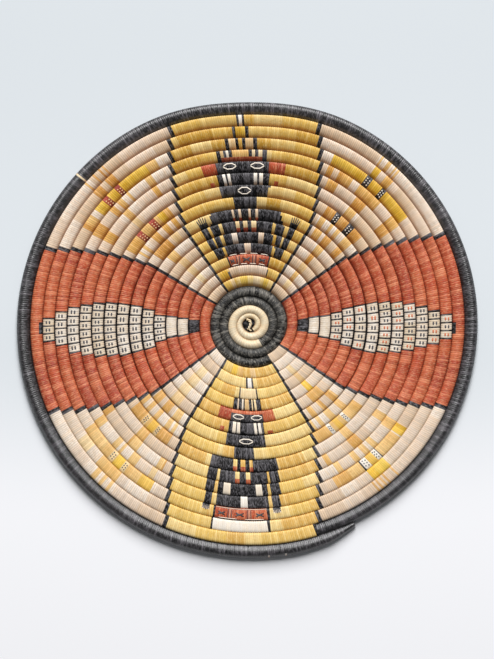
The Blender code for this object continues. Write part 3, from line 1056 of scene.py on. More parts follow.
# The lower lots are lighter and less shaded in their seams: partly dye, partly painted light
LOWER_LIT_LOTS = """
yellow e8c066 f0d290 dcaa54 f4dea4 0.35 0.2 96681e 0.6
sunny f0be3c f2ca58 e2ac2a f4d880 0.3 0.2 96681e 0.6
tan e8c690 efd4a6 deb67c f4deb4 0.3 0.2 96681e 0.6
ochre e2b064 eac280 d49c4e eece9a 0.3 0.2 96681e 0.6
gold e4b03c ecbe58 d4a032 f0ce7a 0.3 0.2 96681e 0.6
pale e4cfba efe0d0 dac0a5 d6b68e 0.4 0.32 a07850 0.5
"""


def read_lots(half: str, text: str) -> dict[Dye, SplintFinish]:
    """Reads the finishes that one half of the plaque has for itself.

    Args:
        half: the word that their names begin with.
        text: their lines, as UPPER_SHADED_LOTS gives them.

    Returns:
        The finish of each dye.
    """
    lots = {}
    for line in text.strip().splitlines():
        dye, *colours, streak, edge, dust_and_shade, amount = line.split()
        lots[Dye(dye)] = SplintFinish(
            f"{half}_{dye}_splint",
            " ".join(colours),
            float(streak),
            edge_shade_share=float(edge),
            dust_and_shade=dust_and_shade,
            dust_and_shade_amount=float(amount),
        )
    return lots


class Palette:
    """The finish of every dye, for the lots above and below the middle of the plaque: darker above and
    lighter below, partly in dye and partly as painted light.
    """

    black = SplintFinish(
        "black_splint", "161415 282627 0a090a 8c888c", 0.5, odd_share=0.3, specular=0.28, dust_and_shade="342f2c"
    )
    weathered = SplintFinish(
        "weathered_splint",
        "100e0f 1e1b1c 070606 8e888e",
        0.32,
        tone_share=0.5,
        odd_share=0.22,
        edge_shade_share=0.5,
        gloss=0.42,
        specular=1.0,
        dust_and_shade="161415",
        bump=0.6,
    )
    faded = SplintFinish(
        "faded_splint",
        "292828 403f3d 121111 9a948a",
        0.5,
        tone_share=0.4,
        odd_share=0.3,
        edge_shade_share=0.4,
        specular=0.35,
        dust_and_shade="1a1817",
        bump=0.5,
    )
    red = SplintFinish(
        "red_splint",
        "bc5030 c86a42 a03c2a de9c74",
        0.55,
        lot_share=0.5,
        tone_share=0.3,
        odd_share=0.28,
        edge_shade_share=0.3,
        dust_and_shade="8a4c38",
    )
    crimson = SplintFinish(
        "crimson_splint", "9a3426 a8442e 7c281e c4705a", 0.35, lot_share=0.5, tone_share=0.3, dust_and_shade="6a3226"
    )
    common = {
        Dye.NATURAL: SplintFinish("natural_splint", "e6d4b4 ecdcc0 dcc8a2 ceaa7a", 0.35, lot_share=0.5),
        Dye.BLACK: black,
        Dye.WEATHERED: weathered,
        Dye.FADED: faded,
        Dye.RED: red,
        Dye.CRIMSON: crimson,
        Dye.KERNEL: SplintFinish(
            "kernel_splint", "e2d4c2 eee4d8 d6c4a8 c0a078", 0.35, lot_share=0.6, edge_shade_share=0.1
        ),
        Dye.WHITE: SplintFinish("white_splint", "f6ecde faf2e8 ecdcc6 e0c8a6", 0.25, edge_shade_share=0.1),
    }
    halves = (read_lots("upper", UPPER_SHADED_LOTS), read_lots("lower", LOWER_LIT_LOTS))

    def __init__(self, groups: EffectGroups) -> None:
        """Makes every finish as a material, in the lots of the upper and the lower half."""
        both = [self.common | half for half in self.halves]
        ready = {finish: finish.material(groups) for lot in both for finish in dict.fromkeys(lot.values())}
        self.lots = [{dye: ready[finish] for dye, finish in lot.items()} for lot in both]

    def finishes(self, lower: bool) -> dict[int, bpy.types.Material]:
        """The material of every dye in one half of the plaque, by the dye's index."""
        return {dye.index: self.lots[lower][dye] for dye in Dye}


# ---------------------------------------------------------------- meshes


def flat(parts: list[Array]) -> NDArray[np.float32]:
    """All numbers of some arrays in one row, as a mesh takes them."""
    return np.concatenate(parts).astype(np.float32).ravel()


def add_object(name: str, data: bpy.types.ID) -> bpy.types.Object:
    """Makes an object and links it to the scene."""
    made = bpy.data.objects.new(name, data)
    bpy.context.scene.collection.objects.link(made)
    return made


def place_piece(piece: bpy.types.Object, slot: str, *nodes: str) -> bpy.types.Object:
    """Fixes a piece to the frame and hides the solids that it stands for."""
    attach(piece, "root")
    if nodes:
        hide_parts(*nodes)
    LOG.info("%s: %d faces", piece.name, len(piece.data.polygons))
    return piece


@dataclass(frozen=True)
class StripLayout:
    """Tubes cut open and laid flat in rows, like lines of writing, to bake a finish on."""

    name: str = "OFBake"
    shown_share: float = 0.6
    hidden_share: float = 0.2
    gap: float = 0.06
    margin: float = 0.004
    least_step: float = 0.25

    def section(self, tube: Array) -> Array:
        """How tall each face around a tube is laid, less for the faces underneath."""
        ring = tube[len(tube) // 2]
        after = np.roll(ring, -1, axis=0)
        shown = (ring + after)[:, 2] / 2 > ring[:, 2].mean()
        return np.linalg.norm(after - ring, axis=1) * np.where(shown, self.shown_share, self.hidden_share)

    def lay(self, tubes: list[Array]) -> list[Array]:
        """Lays all tubes of a piece one after another.

        Args:
            tubes: positions of each tube, by column and by place around it.

        Returns:
            For each tube, two coordinates for every corner of its faces, in their order.
        """
        steps = [np.linalg.norm(np.diff(tube.mean(axis=1), axis=0), axis=1) for tube in tubes]
        widths = [np.maximum(step, self.least_step * step.mean()) for step in steps]
        sections = [self.section(tube) for tube in tubes]
        length = float(sum(wide.sum() for wide in widths))
        girth = float(np.mean([tall.sum() for tall in sections]))
        rows = max(1, round(math.sqrt(length / girth)))
        reach = length / rows
        span = reach + float(max(wide.max() for wide in widths))
        laid: list[Array] = []
        start = 0.0
        for wide, tall in zip(widths, sections):
            left = start + np.append(0.0, np.cumsum(wide))
            start = float(left[-1])
            row = np.minimum(left[:-1] // reach, rows - 1)
            sides = np.stack([left[:-1], left[1:]]) - row * reach
            first, last = self.margin + (1 - 2 * self.margin) * sides[:, :, None, None] / span
            around = np.append(0.0, np.cumsum(tall)) / tall.sum()
            up = (row[:, None] + self.gap / 2 + (1 - self.gap) * around) / rows
            corners = np.empty((len(wide), len(tall), 4, 2))
            corners[:, :, (0, 3), 0] = first
            corners[:, :, (1, 2), 0] = last
            corners[:, :, (0, 1), 1] = up[:, :-1, None]
            corners[:, :, (2, 3), 1] = up[:, 1:, None]
            laid.append(corners.reshape(-1, 2))
        return laid


@dataclass
class MeshSheet:
    """A mesh in the making: its points and faces, and the numbers that its finish reads."""

    tubes: list[Array] = field(default_factory=list)
    rises: list[Array] = field(default_factory=list)
    corners: list[NDArray[np.int64]] = field(default_factory=list)
    places: list[Array] = field(default_factory=list)
    tones: list[Array] = field(default_factory=list)
    lots: list[Array] = field(default_factory=list)
    dyes: list[NDArray[np.int64]] = field(default_factory=list)
    count: int = 0

    def add_tube(
        self, grid: Array, rise: object, place: Array, tone: object, lot: object, dye: object
    ) -> None:
        """Adds a tube of columns of points, closed around but open at its ends.

        Args:
            grid: positions, by column and by place around the tube.
            rise: how high each point lies in its section, from 0 to 1, or one height for all.
            place: stitch coordinates by column and around, one more around than there are points.
            tone: the tone of the faces, one for all or by column and around.
            lot: the lot of the faces.
            dye: the index of the faces' dye.
        """
        columns, around = grid.shape[:2]
        index = np.arange(columns * around).reshape(columns, around) + self.count
        ahead = np.roll(index, -1, axis=1)
        quads = np.stack([index[:-1], index[1:], ahead[1:], ahead[:-1]], axis=-1)
        corners = np.stack([place[:-1, :-1], place[1:, :-1], place[1:, 1:], place[:-1, 1:]], axis=2)
        self.tubes.append(grid)
        self.corners.append(quads.reshape(-1, 4))
        self.places.append(corners.reshape(-1, 2))
        self.rises.append(np.broadcast_to(rise, grid.shape[:2]).ravel())
        for values, value in ((self.tones, tone), (self.lots, lot), (self.dyes, dye)):
            values.append(np.broadcast_to(value, (columns - 1, around)).ravel())
        self.count += columns * around

    def make(self, name: str, finishes: dict[int, bpy.types.Material], sharp: float) -> bpy.types.Object:
        """Makes the object.

        Args:
            name: the object's name.
            finishes: the material of each dye's index.
            sharp: the angle in degrees from which an edge is drawn sharp.

        Returns:
            The new object, linked to the scene.
        """
        quads = np.concatenate(self.corners)
        dyes = np.concatenate(self.dyes)
        # A piece carries only the finishes that it shows
        used = [dye for dye in finishes if (dyes == dye).any()]
        slots = np.zeros(max(finishes) + 1, dtype=np.int32)
        slots[used] = np.arange(len(used))
        mesh = bpy.data.meshes.new(name)
        mesh.vertices.add(self.count)
        mesh.vertices.foreach_set("co", flat([tube.reshape(-1, 3) for tube in self.tubes]))
        mesh.loops.add(quads.size)
        mesh.loops.foreach_set("vertex_index", quads.astype(np.int32).ravel())
        mesh.polygons.add(len(quads))
        mesh.polygons.foreach_set("loop_start", np.arange(0, quads.size, 4, dtype=np.int32))
        mesh.polygons.foreach_set("material_index", slots[dyes])
        mesh.update(calc_edges=True)
        layout = StripLayout()
        for label, places in (("stitch", self.places), (layout.name, layout.lay(self.tubes))):
            mesh.uv_layers.new(name=label).data.foreach_set("uv", flat(places))
        numbers = {"tone": self.tones, "lot": self.lots}
        mesh.attributes.new("rise", "FLOAT", "POINT").data.foreach_set("value", flat(self.rises))
        for label, values in numbers.items():
            mesh.attributes.new(label, "FLOAT", "FACE").data.foreach_set("value", flat(values))
        for dye in used:
            mesh.materials.append(finishes[dye])
        mesh.shade_smooth()
        mesh.set_sharp_from_angle(angle=math.radians(sharp))
        return add_object(name, mesh)


@dataclass
class CoilSewing:
    """Sews stretches of the coil: one closed band of ridged stitches over the bundle."""

    path: CoilPath
    chart: WeaverChart
    stitch: float = 1.72 * MM
    start_ridge: float = 0.3
    around_top: int = 12
    around_under: int = 6
    phases: Row = (0.0, 0.2, 0.5, 0.8)
    dips: Row = (0.20 * MM, 0.05 * MM, 0.0, 0.05 * MM)
    width_jitter: float = 0.16
    crown_jitter: float = 0.07 * MM
    slant: float = 0.18
    # A gap between two breaks that is narrower than this share of a stitch gets none of its own
    least_share: float = 0.35
    # A run of stitches in one lot, and the shares of it that real runs lie between
    run_length: float = 14.0
    run_shares: tuple[float, float] = (0.35, 1.6)
    # Every stretch has draws of its own, counted from here on and so far apart from turn to turn
    first_seed: int = 500
    seed_step: int = 1000
    sharp: float = 52.0

    def section(self, turn: float, degrees: Array) -> tuple[Array, Array]:
        """The section's points around, outer seam first.

        Args:
            turn: the turn of the coil.
            degrees: the bearings of the sections.

        Returns:
            How far across each point lies, and its level in the section at each bearing.
        """
        top = np.cos(np.linspace(0, np.pi, self.around_top))
        under = np.cos(np.linspace(np.pi, 2 * np.pi, self.around_under))[1:-1]
        crown = self.path.crown_level(top[None, :], degrees[:, None], turn)
        foot = np.broadcast_to(self.path.under_level(under), (len(degrees), len(under)))
        return np.append(top, under), np.concatenate([crown, foot], axis=1)

    def stitch_edges(self, stretch: Stretch, rng: np.random.Generator) -> Array:
        """The bearings of all gaps between stitches, its two ends included.

        Args:
            stretch: the stretch to sew.
            rng: the source of small differences in width.

        Returns:
            Bearings in rising order.
        """
        edges = [stretch.start]
        cuts = self.chart.breaks(stretch)
        for left, right in zip(cuts, cuts[1:]):
            middle = (left + right) / 2
            length = (right - left) / self.path.degrees_per_metre(stretch.turn, middle)
            count = max(1, round(length / self.stitch))
            if length < self.least_share * self.stitch:
                edges[-1] = right
                continue
            widths = 1 + self.width_jitter * rng.uniform(-1, 1, count)
            edges.extend(left + (right - left) * np.cumsum(widths) / widths.sum())
        return np.asarray(edges)

    def runs(self, count: int, rng: np.random.Generator) -> Array:
        """Lots of splints, each used for a run of stitches.

        Args:
            count: how many stitches there are.
            rng: the source of the lots.

        Returns:
            The lot of each stitch, from 0 to 1.
        """
        lots: list[float] = []
        while len(lots) < count:
            length = int(rng.uniform(*self.run_shares) * self.run_length) + 1
            lots.extend([float(rng.uniform())] * length)
        return np.asarray(lots[:count])

    def sew(self, stretch: Stretch, ground: Dye, sheet: MeshSheet) -> int:
        """Adds one stretch to a mesh in the making.

        Args:
            stretch: the stretch to sew.
            ground: the dye of the field.
            sheet: the mesh in the making.

        Returns:
            How many stitches were sewn.
        """
        seed = self.seed_step * stretch.turn + int(stretch.start) + self.first_seed
        rng = np.random.default_rng(seed)
        edges = self.stitch_edges(stretch, rng)
        count = len(edges) - 1
        steps = np.diff(edges)
        phases = np.asarray(self.phases)

        def spread(values: Array) -> Array:
            """One value of each stitch, for all of its columns."""
            return np.repeat(values, len(phases))

        columns = np.append((edges[:-1, None] + steps[:, None] * phases).ravel(), edges[-1])
        order = np.append((np.arange(count)[:, None] + phases).ravel(), float(count))
        lift = np.append(spread(rng.uniform(-1, 1, count) * self.crown_jitter), 0.0)
        ridge = self.start_ridge if stretch.turn < RING_TURN else 1.0
        dips = np.append(np.tile(self.dips, count), self.dips[0]) * ridge
        across, level = self.section(stretch.turn, columns)
        half = self.path.half_height(self.path.turns(stretch.turn, columns))
        shrink = (1 - dips / half)[:, None]
        raised = shrink + (lift / half)[:, None] * np.clip(level, 0, 1)
        slant = np.append(spread(steps), steps[-1])[:, None] * self.slant
        bearings = columns[:, None] + slant * across
        bearings[0] = columns[0]
        bearings[-1] = columns[-1]
        grid = self.path.place(stretch.turn, bearings, across * shrink, level * raised)
        girth = np.pi * self.path.height / MM
        place = pairs(order[:, None], np.linspace(0, girth, len(across) + 1))
        middles = spread((edges[:-1] + edges[1:]) / 2)[:, None]
        between = (across + np.roll(across, -1)) / 2
        dye = self.chart.dyes(stretch.turn, *np.broadcast_arrays(middles, between), ground)
        tone = spread(rng.uniform(0, 1, count))[:, None]
        lot = spread(self.runs(count, rng))[:, None]
        sheet.add_tube(grid, np.abs(level), place, tone, lot, dye)
        return count


@dataclass
class SewnField:
    """A field of the plaque as one piece, in place of its plain solid."""

    node: str
    slot: str
    ground: Dye
    lower: bool

    def build(self, sewing: CoilSewing, stretches: Iterable[Stretch], palette: Palette) -> bpy.types.Object:
        """Sews all stretches of the field.

        Args:
            sewing: the stitches' sizes.
            stretches: all stretches of the coil.
            palette: the finishes.

        Returns:
            The piece, which rides on the frame and replaces the solid.
        """
        sheet = MeshSheet()
        own = [one for one in stretches if one.node == self.node]
        stitches = sum(sewing.sew(one, self.ground, sheet) for one in own)
        LOG.info("%s: %d stitches", self.node, stitches)
        piece = sheet.make(f"sewn_{self.node}", palette.finishes(self.lower), sewing.sharp)
        return place_piece(piece, self.slot, self.node)


# ---------------------------------------------------------------- embroidery


@dataclass
class Embroidery:
    """Short strands laid over the finished turns: eyes, crosses, fingers, dots and kernel marks."""

    path: CoilPath
    palette: Palette
    width: float = 0.8 * MM
    thickness: float = 0.34 * MM
    sink: float = 0.10 * MM
    around: int = 6
    steps_between: int = 6
    end_share: float = 0.45
    tone: float = 0.5
    # The part of a splint's pattern that goes around a strand
    pattern: tuple[float, float] = (0.5, 0.75)
    sharp: float = 70.0
    # How far out and up a place over the strand lies, to find which way it faces
    outward: float = 1.3
    upward: float = 0.05
    # The mark on a kernel: its width, the bare share at each side, and its two places across
    kernel_mark: float = 1.5 * MM
    kernel_margin: float = 0.26
    kernel_places: tuple[float, float] = (-0.16, 0.3)
    # Reaches, sides and margins are shares of a motif's own length or step. Gaps, rises and
    # heights are places across the coil, and the dash's step is in degrees.
    diamond_reach: float = 0.2
    diamond_gap: float = 0.05
    cross_margin: float = 0.2
    wrist_share: float = 0.8
    finger_rises: Row = (-0.2, 0.0, 0.08, 0.0, -0.2)
    dot_side: float = 0.24
    dot_count: int = 3
    dot_shift: float = 1 / 6
    dot_height: float = 0.2
    dash_step: float = 7.6
    dash_margin: float = 0.15
    stroke_side: float = 0.3
    line_steps: int = 24
    width_shares = {
        Motif.LINE: 0.8,
        Motif.STROKES: 0.9,
        Motif.BAR: 0.7,
        Motif.CROSS: 1.4,
        Motif.HAND: 1.1,
        Motif.DOTS: 1.4,
        Motif.DIAMOND: 1.25,
    }

    def strand(self, turn: int, route: Route, dye: Dye, sheet: MeshSheet, width: float) -> None:
        """Lays one strand.

        Args:
            turn: the turn it lies on.
            route: its points as bearing and place across the coil.
            dye: its dye.
            sheet: the mesh in the making.
            width: how wide the strand is.
        """
        legs = len(route) - 1
        steps = np.linspace(0, legs, self.steps_between * legs + 1)
        knots = np.arange(len(route))
        degrees, across = (np.interp(steps, knots, values) for values in zip(*route))
        level = self.path.crown_level(across, degrees)
        centre = self.path.place(turn, degrees, across, level)
        above = self.path.place(turn, degrees, across * self.outward, level * self.outward + self.upward)
        normal = above - centre
        normal /= np.linalg.norm(normal, axis=1)[:, None]
        side = np.cross(normal, np.gradient(centre, axis=0))
        side /= np.linalg.norm(side, axis=1)[:, None]
        angle = ring_angles(self.around)
        taper = np.ones(len(steps))
        taper[[0, -1]] = self.end_share
        wide = np.cos(angle)[None, :, None] * side[:, None, :] * width / 2
        high = np.sin(angle)[None, :, None] * normal[:, None, :] * self.thickness
        grid = (centre + normal * self.sink)[:, None, :] + (wide + high) * taper[:, None, None]
        place = pairs(np.linspace(*self.pattern, self.around + 1), steps[:, None])
        sheet.add_tube(grid, 1.0, place, self.tone, self.tone, dye.index)

    def routes(self, motif: Motif, start: float, end: float, low: float, high: float) -> list[Route]:
        """The strands that make up a motif.

        Args:
            motif: the kind of motif.
            start: its first bearing.
            end: its last bearing.
            low: its place across the coil nearest to the knot.
            high: its place across the coil nearest to the rim.

        Returns:
            Routes of bearings and places across the coil.
        """
        middle = (start + end) / 2
        level = (low + high) / 2
        span = end - start
        if motif is Motif.DIAMOND:
            reach = self.diamond_reach * span
            sides = ((high, level + self.diamond_gap), (low, level - self.diamond_gap))
            return [
                [(start, tip), (middle - reach, at), (middle + reach, at), (end, tip)]
                for at, tip in sides
            ]
        if motif is Motif.CROSS:
            margin = self.cross_margin * span
            tips = ((high, low), (low, high))
            arms = [[(start, one), (middle, level), (end, other)] for one, other in tips]
            return [*arms, [(start + margin, level), (end - margin, level)]]
        if motif is Motif.HAND:
            spread = np.linspace(-0.5, 0.5, len(self.finger_rises)) * span
            wrists = middle + spread * self.wrist_share
            return [
                [(wrist, low), (middle + side, high + rise)]
                for wrist, side, rise in zip(wrists, spread, self.finger_rises)
            ]
        if motif is Motif.DOTS:
            # Two columns of dots, one a little nearer to the knot and one a little farther
            step = (high - low) / self.dot_count
            dots = [
                (middle + side * self.dot_side * span, low + (i + side * self.dot_shift) * step)
                for side in (-1, 1)
                for i in range(self.dot_count)
            ]
            return [[(column, at), (column, at + self.dot_height)] for column, at in dots]
        if motif is Motif.BROKEN:
            count = max(2, round(span / self.dash_step))
            ends = (self.dash_margin, 1 - self.dash_margin)
            return [[(start + (i + part) * span / count, level) for part in ends] for i in range(count)]
        if motif is Motif.STROKES:
            sides = (middle - self.stroke_side * span, middle + self.stroke_side * span)
            return [[(side, low), (side, high)] for side in sides]
        if motif is Motif.BAR:
            return [[(middle, low), (middle, high)]]
        if motif is Motif.DASHES:
            return [[(start, at), (end, at)] for at in (low, high)]
        return [[(start + span * step / self.line_steps, level) for step in range(self.line_steps + 1)]]

    def build(self, chart: WeaverChart, lower: bool) -> bpy.types.Object:
        """Embroiders one half of the plaque.

        Args:
            chart: the chart, which knows where the kernels lie.
            lower: whether to work on the half below the middle.

        Returns:
            The piece.
        """
        sheet = MeshSheet()
        for line in MOTIFS.strip().splitlines():
            kind, dye, row, *numbers = line.split()
            start, end, low, high = (float(number) for number in numbers)
            if self.is_lower(start) != lower:
                continue
            width = self.width * self.width_shares.get(Motif(kind), 1.0)
            for route in self.routes(Motif(kind), start, end, low, high):
                self.strand(int(row) + ROW_OFFSET, route, Dye(dye), sheet, width)
        for turn, left, right, mark in chart.kernels:
            if self.is_lower(left) == lower:
                self.mark_kernel(turn, left, right, mark, sheet)
        name = "embroidery_lower" if lower else "embroidery_upper"
        piece = sheet.make(name, self.palette.finishes(lower), self.sharp)
        return place_piece(piece, "black_splint")

    def mark_kernel(self, turn: int, left: float, right: float, mark: str, sheet: MeshSheet) -> None:
        """Puts the small mark on one kernel: two short dashes beside each other along the coil."""
        margin = self.kernel_margin * (right - left)
        dye = Dye.RED if mark == "r" else Dye.BLACK
        for route in self.routes(Motif.DASHES, left + margin, right - margin, *self.kernel_places):
            self.strand(turn, route, dye, sheet, self.kernel_mark)

    @staticmethod
    def is_lower(degrees: float) -> bool:
        """Whether a bearing lies in the lower half of the plaque."""
        return math.sin(math.radians(degrees)) < 0


# ---------------------------------------------------------------- bundle and knot


@dataclass(frozen=True)
class GrassFinish:
    """Dry grass stems, straw-brown with darker joints."""

    name: str = "grass"
    base: str = "b08a55"
    deep: str = "7c5a30"
    stretch: float = 0.4
    scale: float = 3.0
    detail: float = 4.0
    # Where the fibres turn deep and rough, and how rough they then are
    deep_fibres: Row = (0.3, 0.7, 0.0, 1.0)
    rough_fibres: Row = (0.2, 0.8, 0.65, 0.9)
    bump: float = 0.5

    def material(self) -> bpy.types.Material:
        """Makes the finish as a material with stem fibres along the bundle."""
        made, sheet, shader = new_finish(self.name)
        along, around = sheet.stitch_place()
        drawn = sheet.vector(sheet.times(along, self.stretch), around, sheet.attribute("tone"))
        fibre = sheet.noise(drawn, self.scale, self.detail)
        share = sheet.ramp(fibre, *self.deep_fibres)
        sheet.feed(shader["Base Color"], sheet.mix(share, linear(self.base), linear(self.deep)))
        sheet.feed(shader["Roughness"], sheet.ramp(fibre, *self.rough_fibres))
        sheet.feed(shader["Normal"], sheet.bump(fibre, self.bump))
        return made


@dataclass
class GrassBundle:
    """The foundation: grass stems that wind on the spiral and twist slowly about one another."""

    path: CoilPath
    stems: int = 7
    stem_radius: float = 1.15 * MM
    ring_radius: float = 2.15 * MM
    twist_turns: float = 1.5
    sides: int = 5
    step_degrees: float = 6.0
    first_turns: float = 0.08
    last_turns: float = 19.988
    # How much a stem swells between its joints, and how quickly along a turn
    swell: float = 0.12
    swell_rate: float = 40.0
    # How often the finish's pattern repeats along a turn and around a stem
    pattern: tuple[float, float] = (60.0, 2.0)
    first_seed: int = 7
    sharp: float = 60.0

    def build(self) -> bpy.types.Object:
        """Makes the bundle as one piece, in place of its plain solid."""
        count = int((self.last_turns - self.first_turns) * FULL_TURN / self.step_degrees)
        turns = np.linspace(self.first_turns, self.last_turns, count)
        sheet = MeshSheet()
        for stem in range(self.stems):
            self.add_stem(stem, turns, sheet)
        piece = sheet.make("grass_stems", {0: GrassFinish().material()}, self.sharp)
        return place_piece(piece, "grass", "grass_foundation")

    def add_stem(self, stem: int, turns: Array, sheet: MeshSheet) -> None:
        """Adds one stem of the bundle.

        Args:
            stem: its number; the first runs in the middle and the rest around it.
            turns: turns wound at each of its points.
            sheet: the mesh in the making.
        """
        tone = np.random.default_rng(stem + self.first_seed).uniform()
        share = self.path.share(turns) * self.path.pitch(turns) / self.path.outer_pitch
        swing = 2 * np.pi * (stem / max(1, self.stems - 1) + turns * self.twist_turns)
        ring = 0.0 if stem == 0 else self.ring_radius
        angle = ring_angles(self.sides)[None, :]
        thick = self.stem_radius * (1 + self.swell * np.sin(turns * self.swell_rate + stem))
        across = (ring * np.cos(swing) * share)[:, None] + np.cos(angle) * (thick * share)[:, None]
        level = (ring * np.sin(swing) * share)[:, None] + np.sin(angle) * (thick * share)[:, None]
        half_width = self.path.pitch(turns)[:, None] / 2 * self.path.share(turns)[:, None]
        half_height = self.path.half_height(turns)[:, None]
        bearing = np.broadcast_to((START_BEARING + FULL_TURN * turns)[:, None], across.shape)
        grid = self.path.place(0, bearing, across / half_width, level / half_height)
        along, around = self.pattern
        place = pairs(turns[:, None] * along, np.linspace(0, around, self.sides + 1) + stem)
        sheet.add_tube(grid, 1.0, place, tone, tone, 0)


@dataclass
class StartKnot:
    """The beginning in the eye of the coil: a wad of splint ends, black as painted shade for the dark eye,
    and a pale twisted strand.
    """

    palette: Palette
    centre: tuple[float, float] = (-0.8 * MM, -1.5 * MM)
    wad_radius: float = 5.0 * MM
    wad_length: float = 6.6 * MM
    wad_height: float = 4.0 * MM
    # The wad's outline from its foot to its crown: (share of its radius, share of its height)
    wad_shares: tuple[tuple[float, float], ...] = (
        (0.0, 0.0),
        (0.8, 0.0),
        (1.0, 0.25),
        (0.98, 0.6),
        (0.8, 0.85),
        (0.45, 0.97),
        (0.0, 1.0),
    )
    # Its creases: how deep, how many around, and where they begin
    creases: tuple[Row, ...] = ((0.07, 5, 0), (0.05, 9, 1))
    around: int = 28
    wad_rise: float = 0.4
    wad_tone: float = 0.3
    # How many splints lie side by side around it
    wad_splints: int = 9
    # The strand's way in millimetres, and the two ends where its plies part
    route: tuple[Point, ...] = (
        (-1.9, 3.5, 4.4),
        (-0.6, 3.2, 6.4),
        (0.8, 2.0, 7.0),
        (1.1, 0.2, 7.1),
        (0.6, -1.8, 7.1),
        (0.1, -3.1, 7.0),
    )
    ends: tuple[tuple[Point, ...], ...] = (
        ((0.5, -4.2, 6.6), (1.2, -5.4, 5.4)),
        ((-0.8, -3.9, 6.4), (-1.9, -4.5, 5.0)),
    )
    ply_radius: float = 0.72 * MM
    ply_spacing: float = 0.8
    ply_steps: int = 90
    ply_sides: int = 8
    ply_tone: float = 0.6
    ply_pattern: float = 2.0
    twist: float = 2.0
    sharp: float = 60.0

    def build(self) -> bpy.types.Object:
        """Makes the knot as one piece, in place of its plain solid."""
        sheet = MeshSheet()
        self.add_wad(sheet)
        for ply in (0, 1):
            self.add_ply(ply, sheet)
        piece = sheet.make("twisted_start", self.palette.finishes(False), self.sharp)
        return place_piece(piece, "natural_splint", "start_knot")

    def add_wad(self, sheet: MeshSheet) -> None:
        """Adds the wad: a low, creased dome with a flat foot."""
        angle = ring_angles(self.around)
        crease = 1 + sum(deep * np.sin(many * angle + begin) for deep, many, begin in self.creases)
        rows = []
        for out, up in reversed(self.wad_shares):
            x = self.centre[0] + out * self.wad_radius * crease * np.cos(angle)
            y = self.centre[1] + out * self.wad_length * crease * np.sin(angle)
            rows.append(np.stack([x, y, np.full_like(angle, up * self.wad_height)], axis=-1))
        place = pairs(np.linspace(0, self.wad_splints, self.around + 1), np.arange(len(rows))[:, None])
        # The wad is dyed black as painted shade: the eye of the coil is dark with shade
        sheet.add_tube(np.stack(rows), self.wad_rise, place, self.wad_tone, self.wad_tone, Dye.BLACK.index)

    def add_ply(self, ply: int, sheet: MeshSheet) -> None:
        """Adds one of the two plies of the pale strand."""
        route = np.asarray(self.route + self.ends[ply]) * MM
        steps = np.linspace(0, len(route) - 1, self.ply_steps)
        centre = np.stack([smooth_route(route[:, axis], steps) for axis in range(3)], axis=-1)
        ahead = np.gradient(centre, axis=0)
        ahead /= np.linalg.norm(ahead, axis=1)[:, None]
        side = np.cross(ahead, (0.0, 0.0, 1.0))
        side /= np.linalg.norm(side, axis=1)[:, None]
        up = np.cross(side, ahead)
        swing = (np.pi * ply + steps * self.twist)[:, None]
        middle = centre + (np.cos(swing) * side + np.sin(swing) * up) * self.ply_radius * self.ply_spacing
        angle = ring_angles(self.ply_sides)[None, :, None]
        round_it = np.cos(angle) * side[:, None, :] + np.sin(angle) * up[:, None, :]
        place = pairs(np.linspace(0, 1, self.ply_sides + 1), steps[:, None] * self.ply_pattern)
        grid = middle[:, None, :] + round_it * self.ply_radius
        sheet.add_tube(grid, 1.0, place, self.ply_tone, self.ply_tone, Dye.NATURAL.index)


def smooth_route(values: Array, steps: Array) -> Array:
    """Runs a smooth curve through values at whole steps.

    Args:
        values: the values to pass through.
        steps: where to read the curve.

    Returns:
        The curve's value at each step.
    """
    last = len(values) - 1
    low = np.clip(steps.astype(int), 0, last - 1)
    part = steps - low
    before, here, there, beyond = (values[np.clip(low + shift, 0, last)] for shift in (-1, 0, 1, 2))
    slope = (there - before) / 2
    end_slope = (beyond - here) / 2
    square, cube = part**2, part**3
    return (
        here * (2 * cube - 3 * square + 1)
        + slope * (cube - 2 * square + part)
        + there * (3 * square - 2 * cube)
        + end_slope * (cube - square)
    )


# ---------------------------------------------------------------- studio


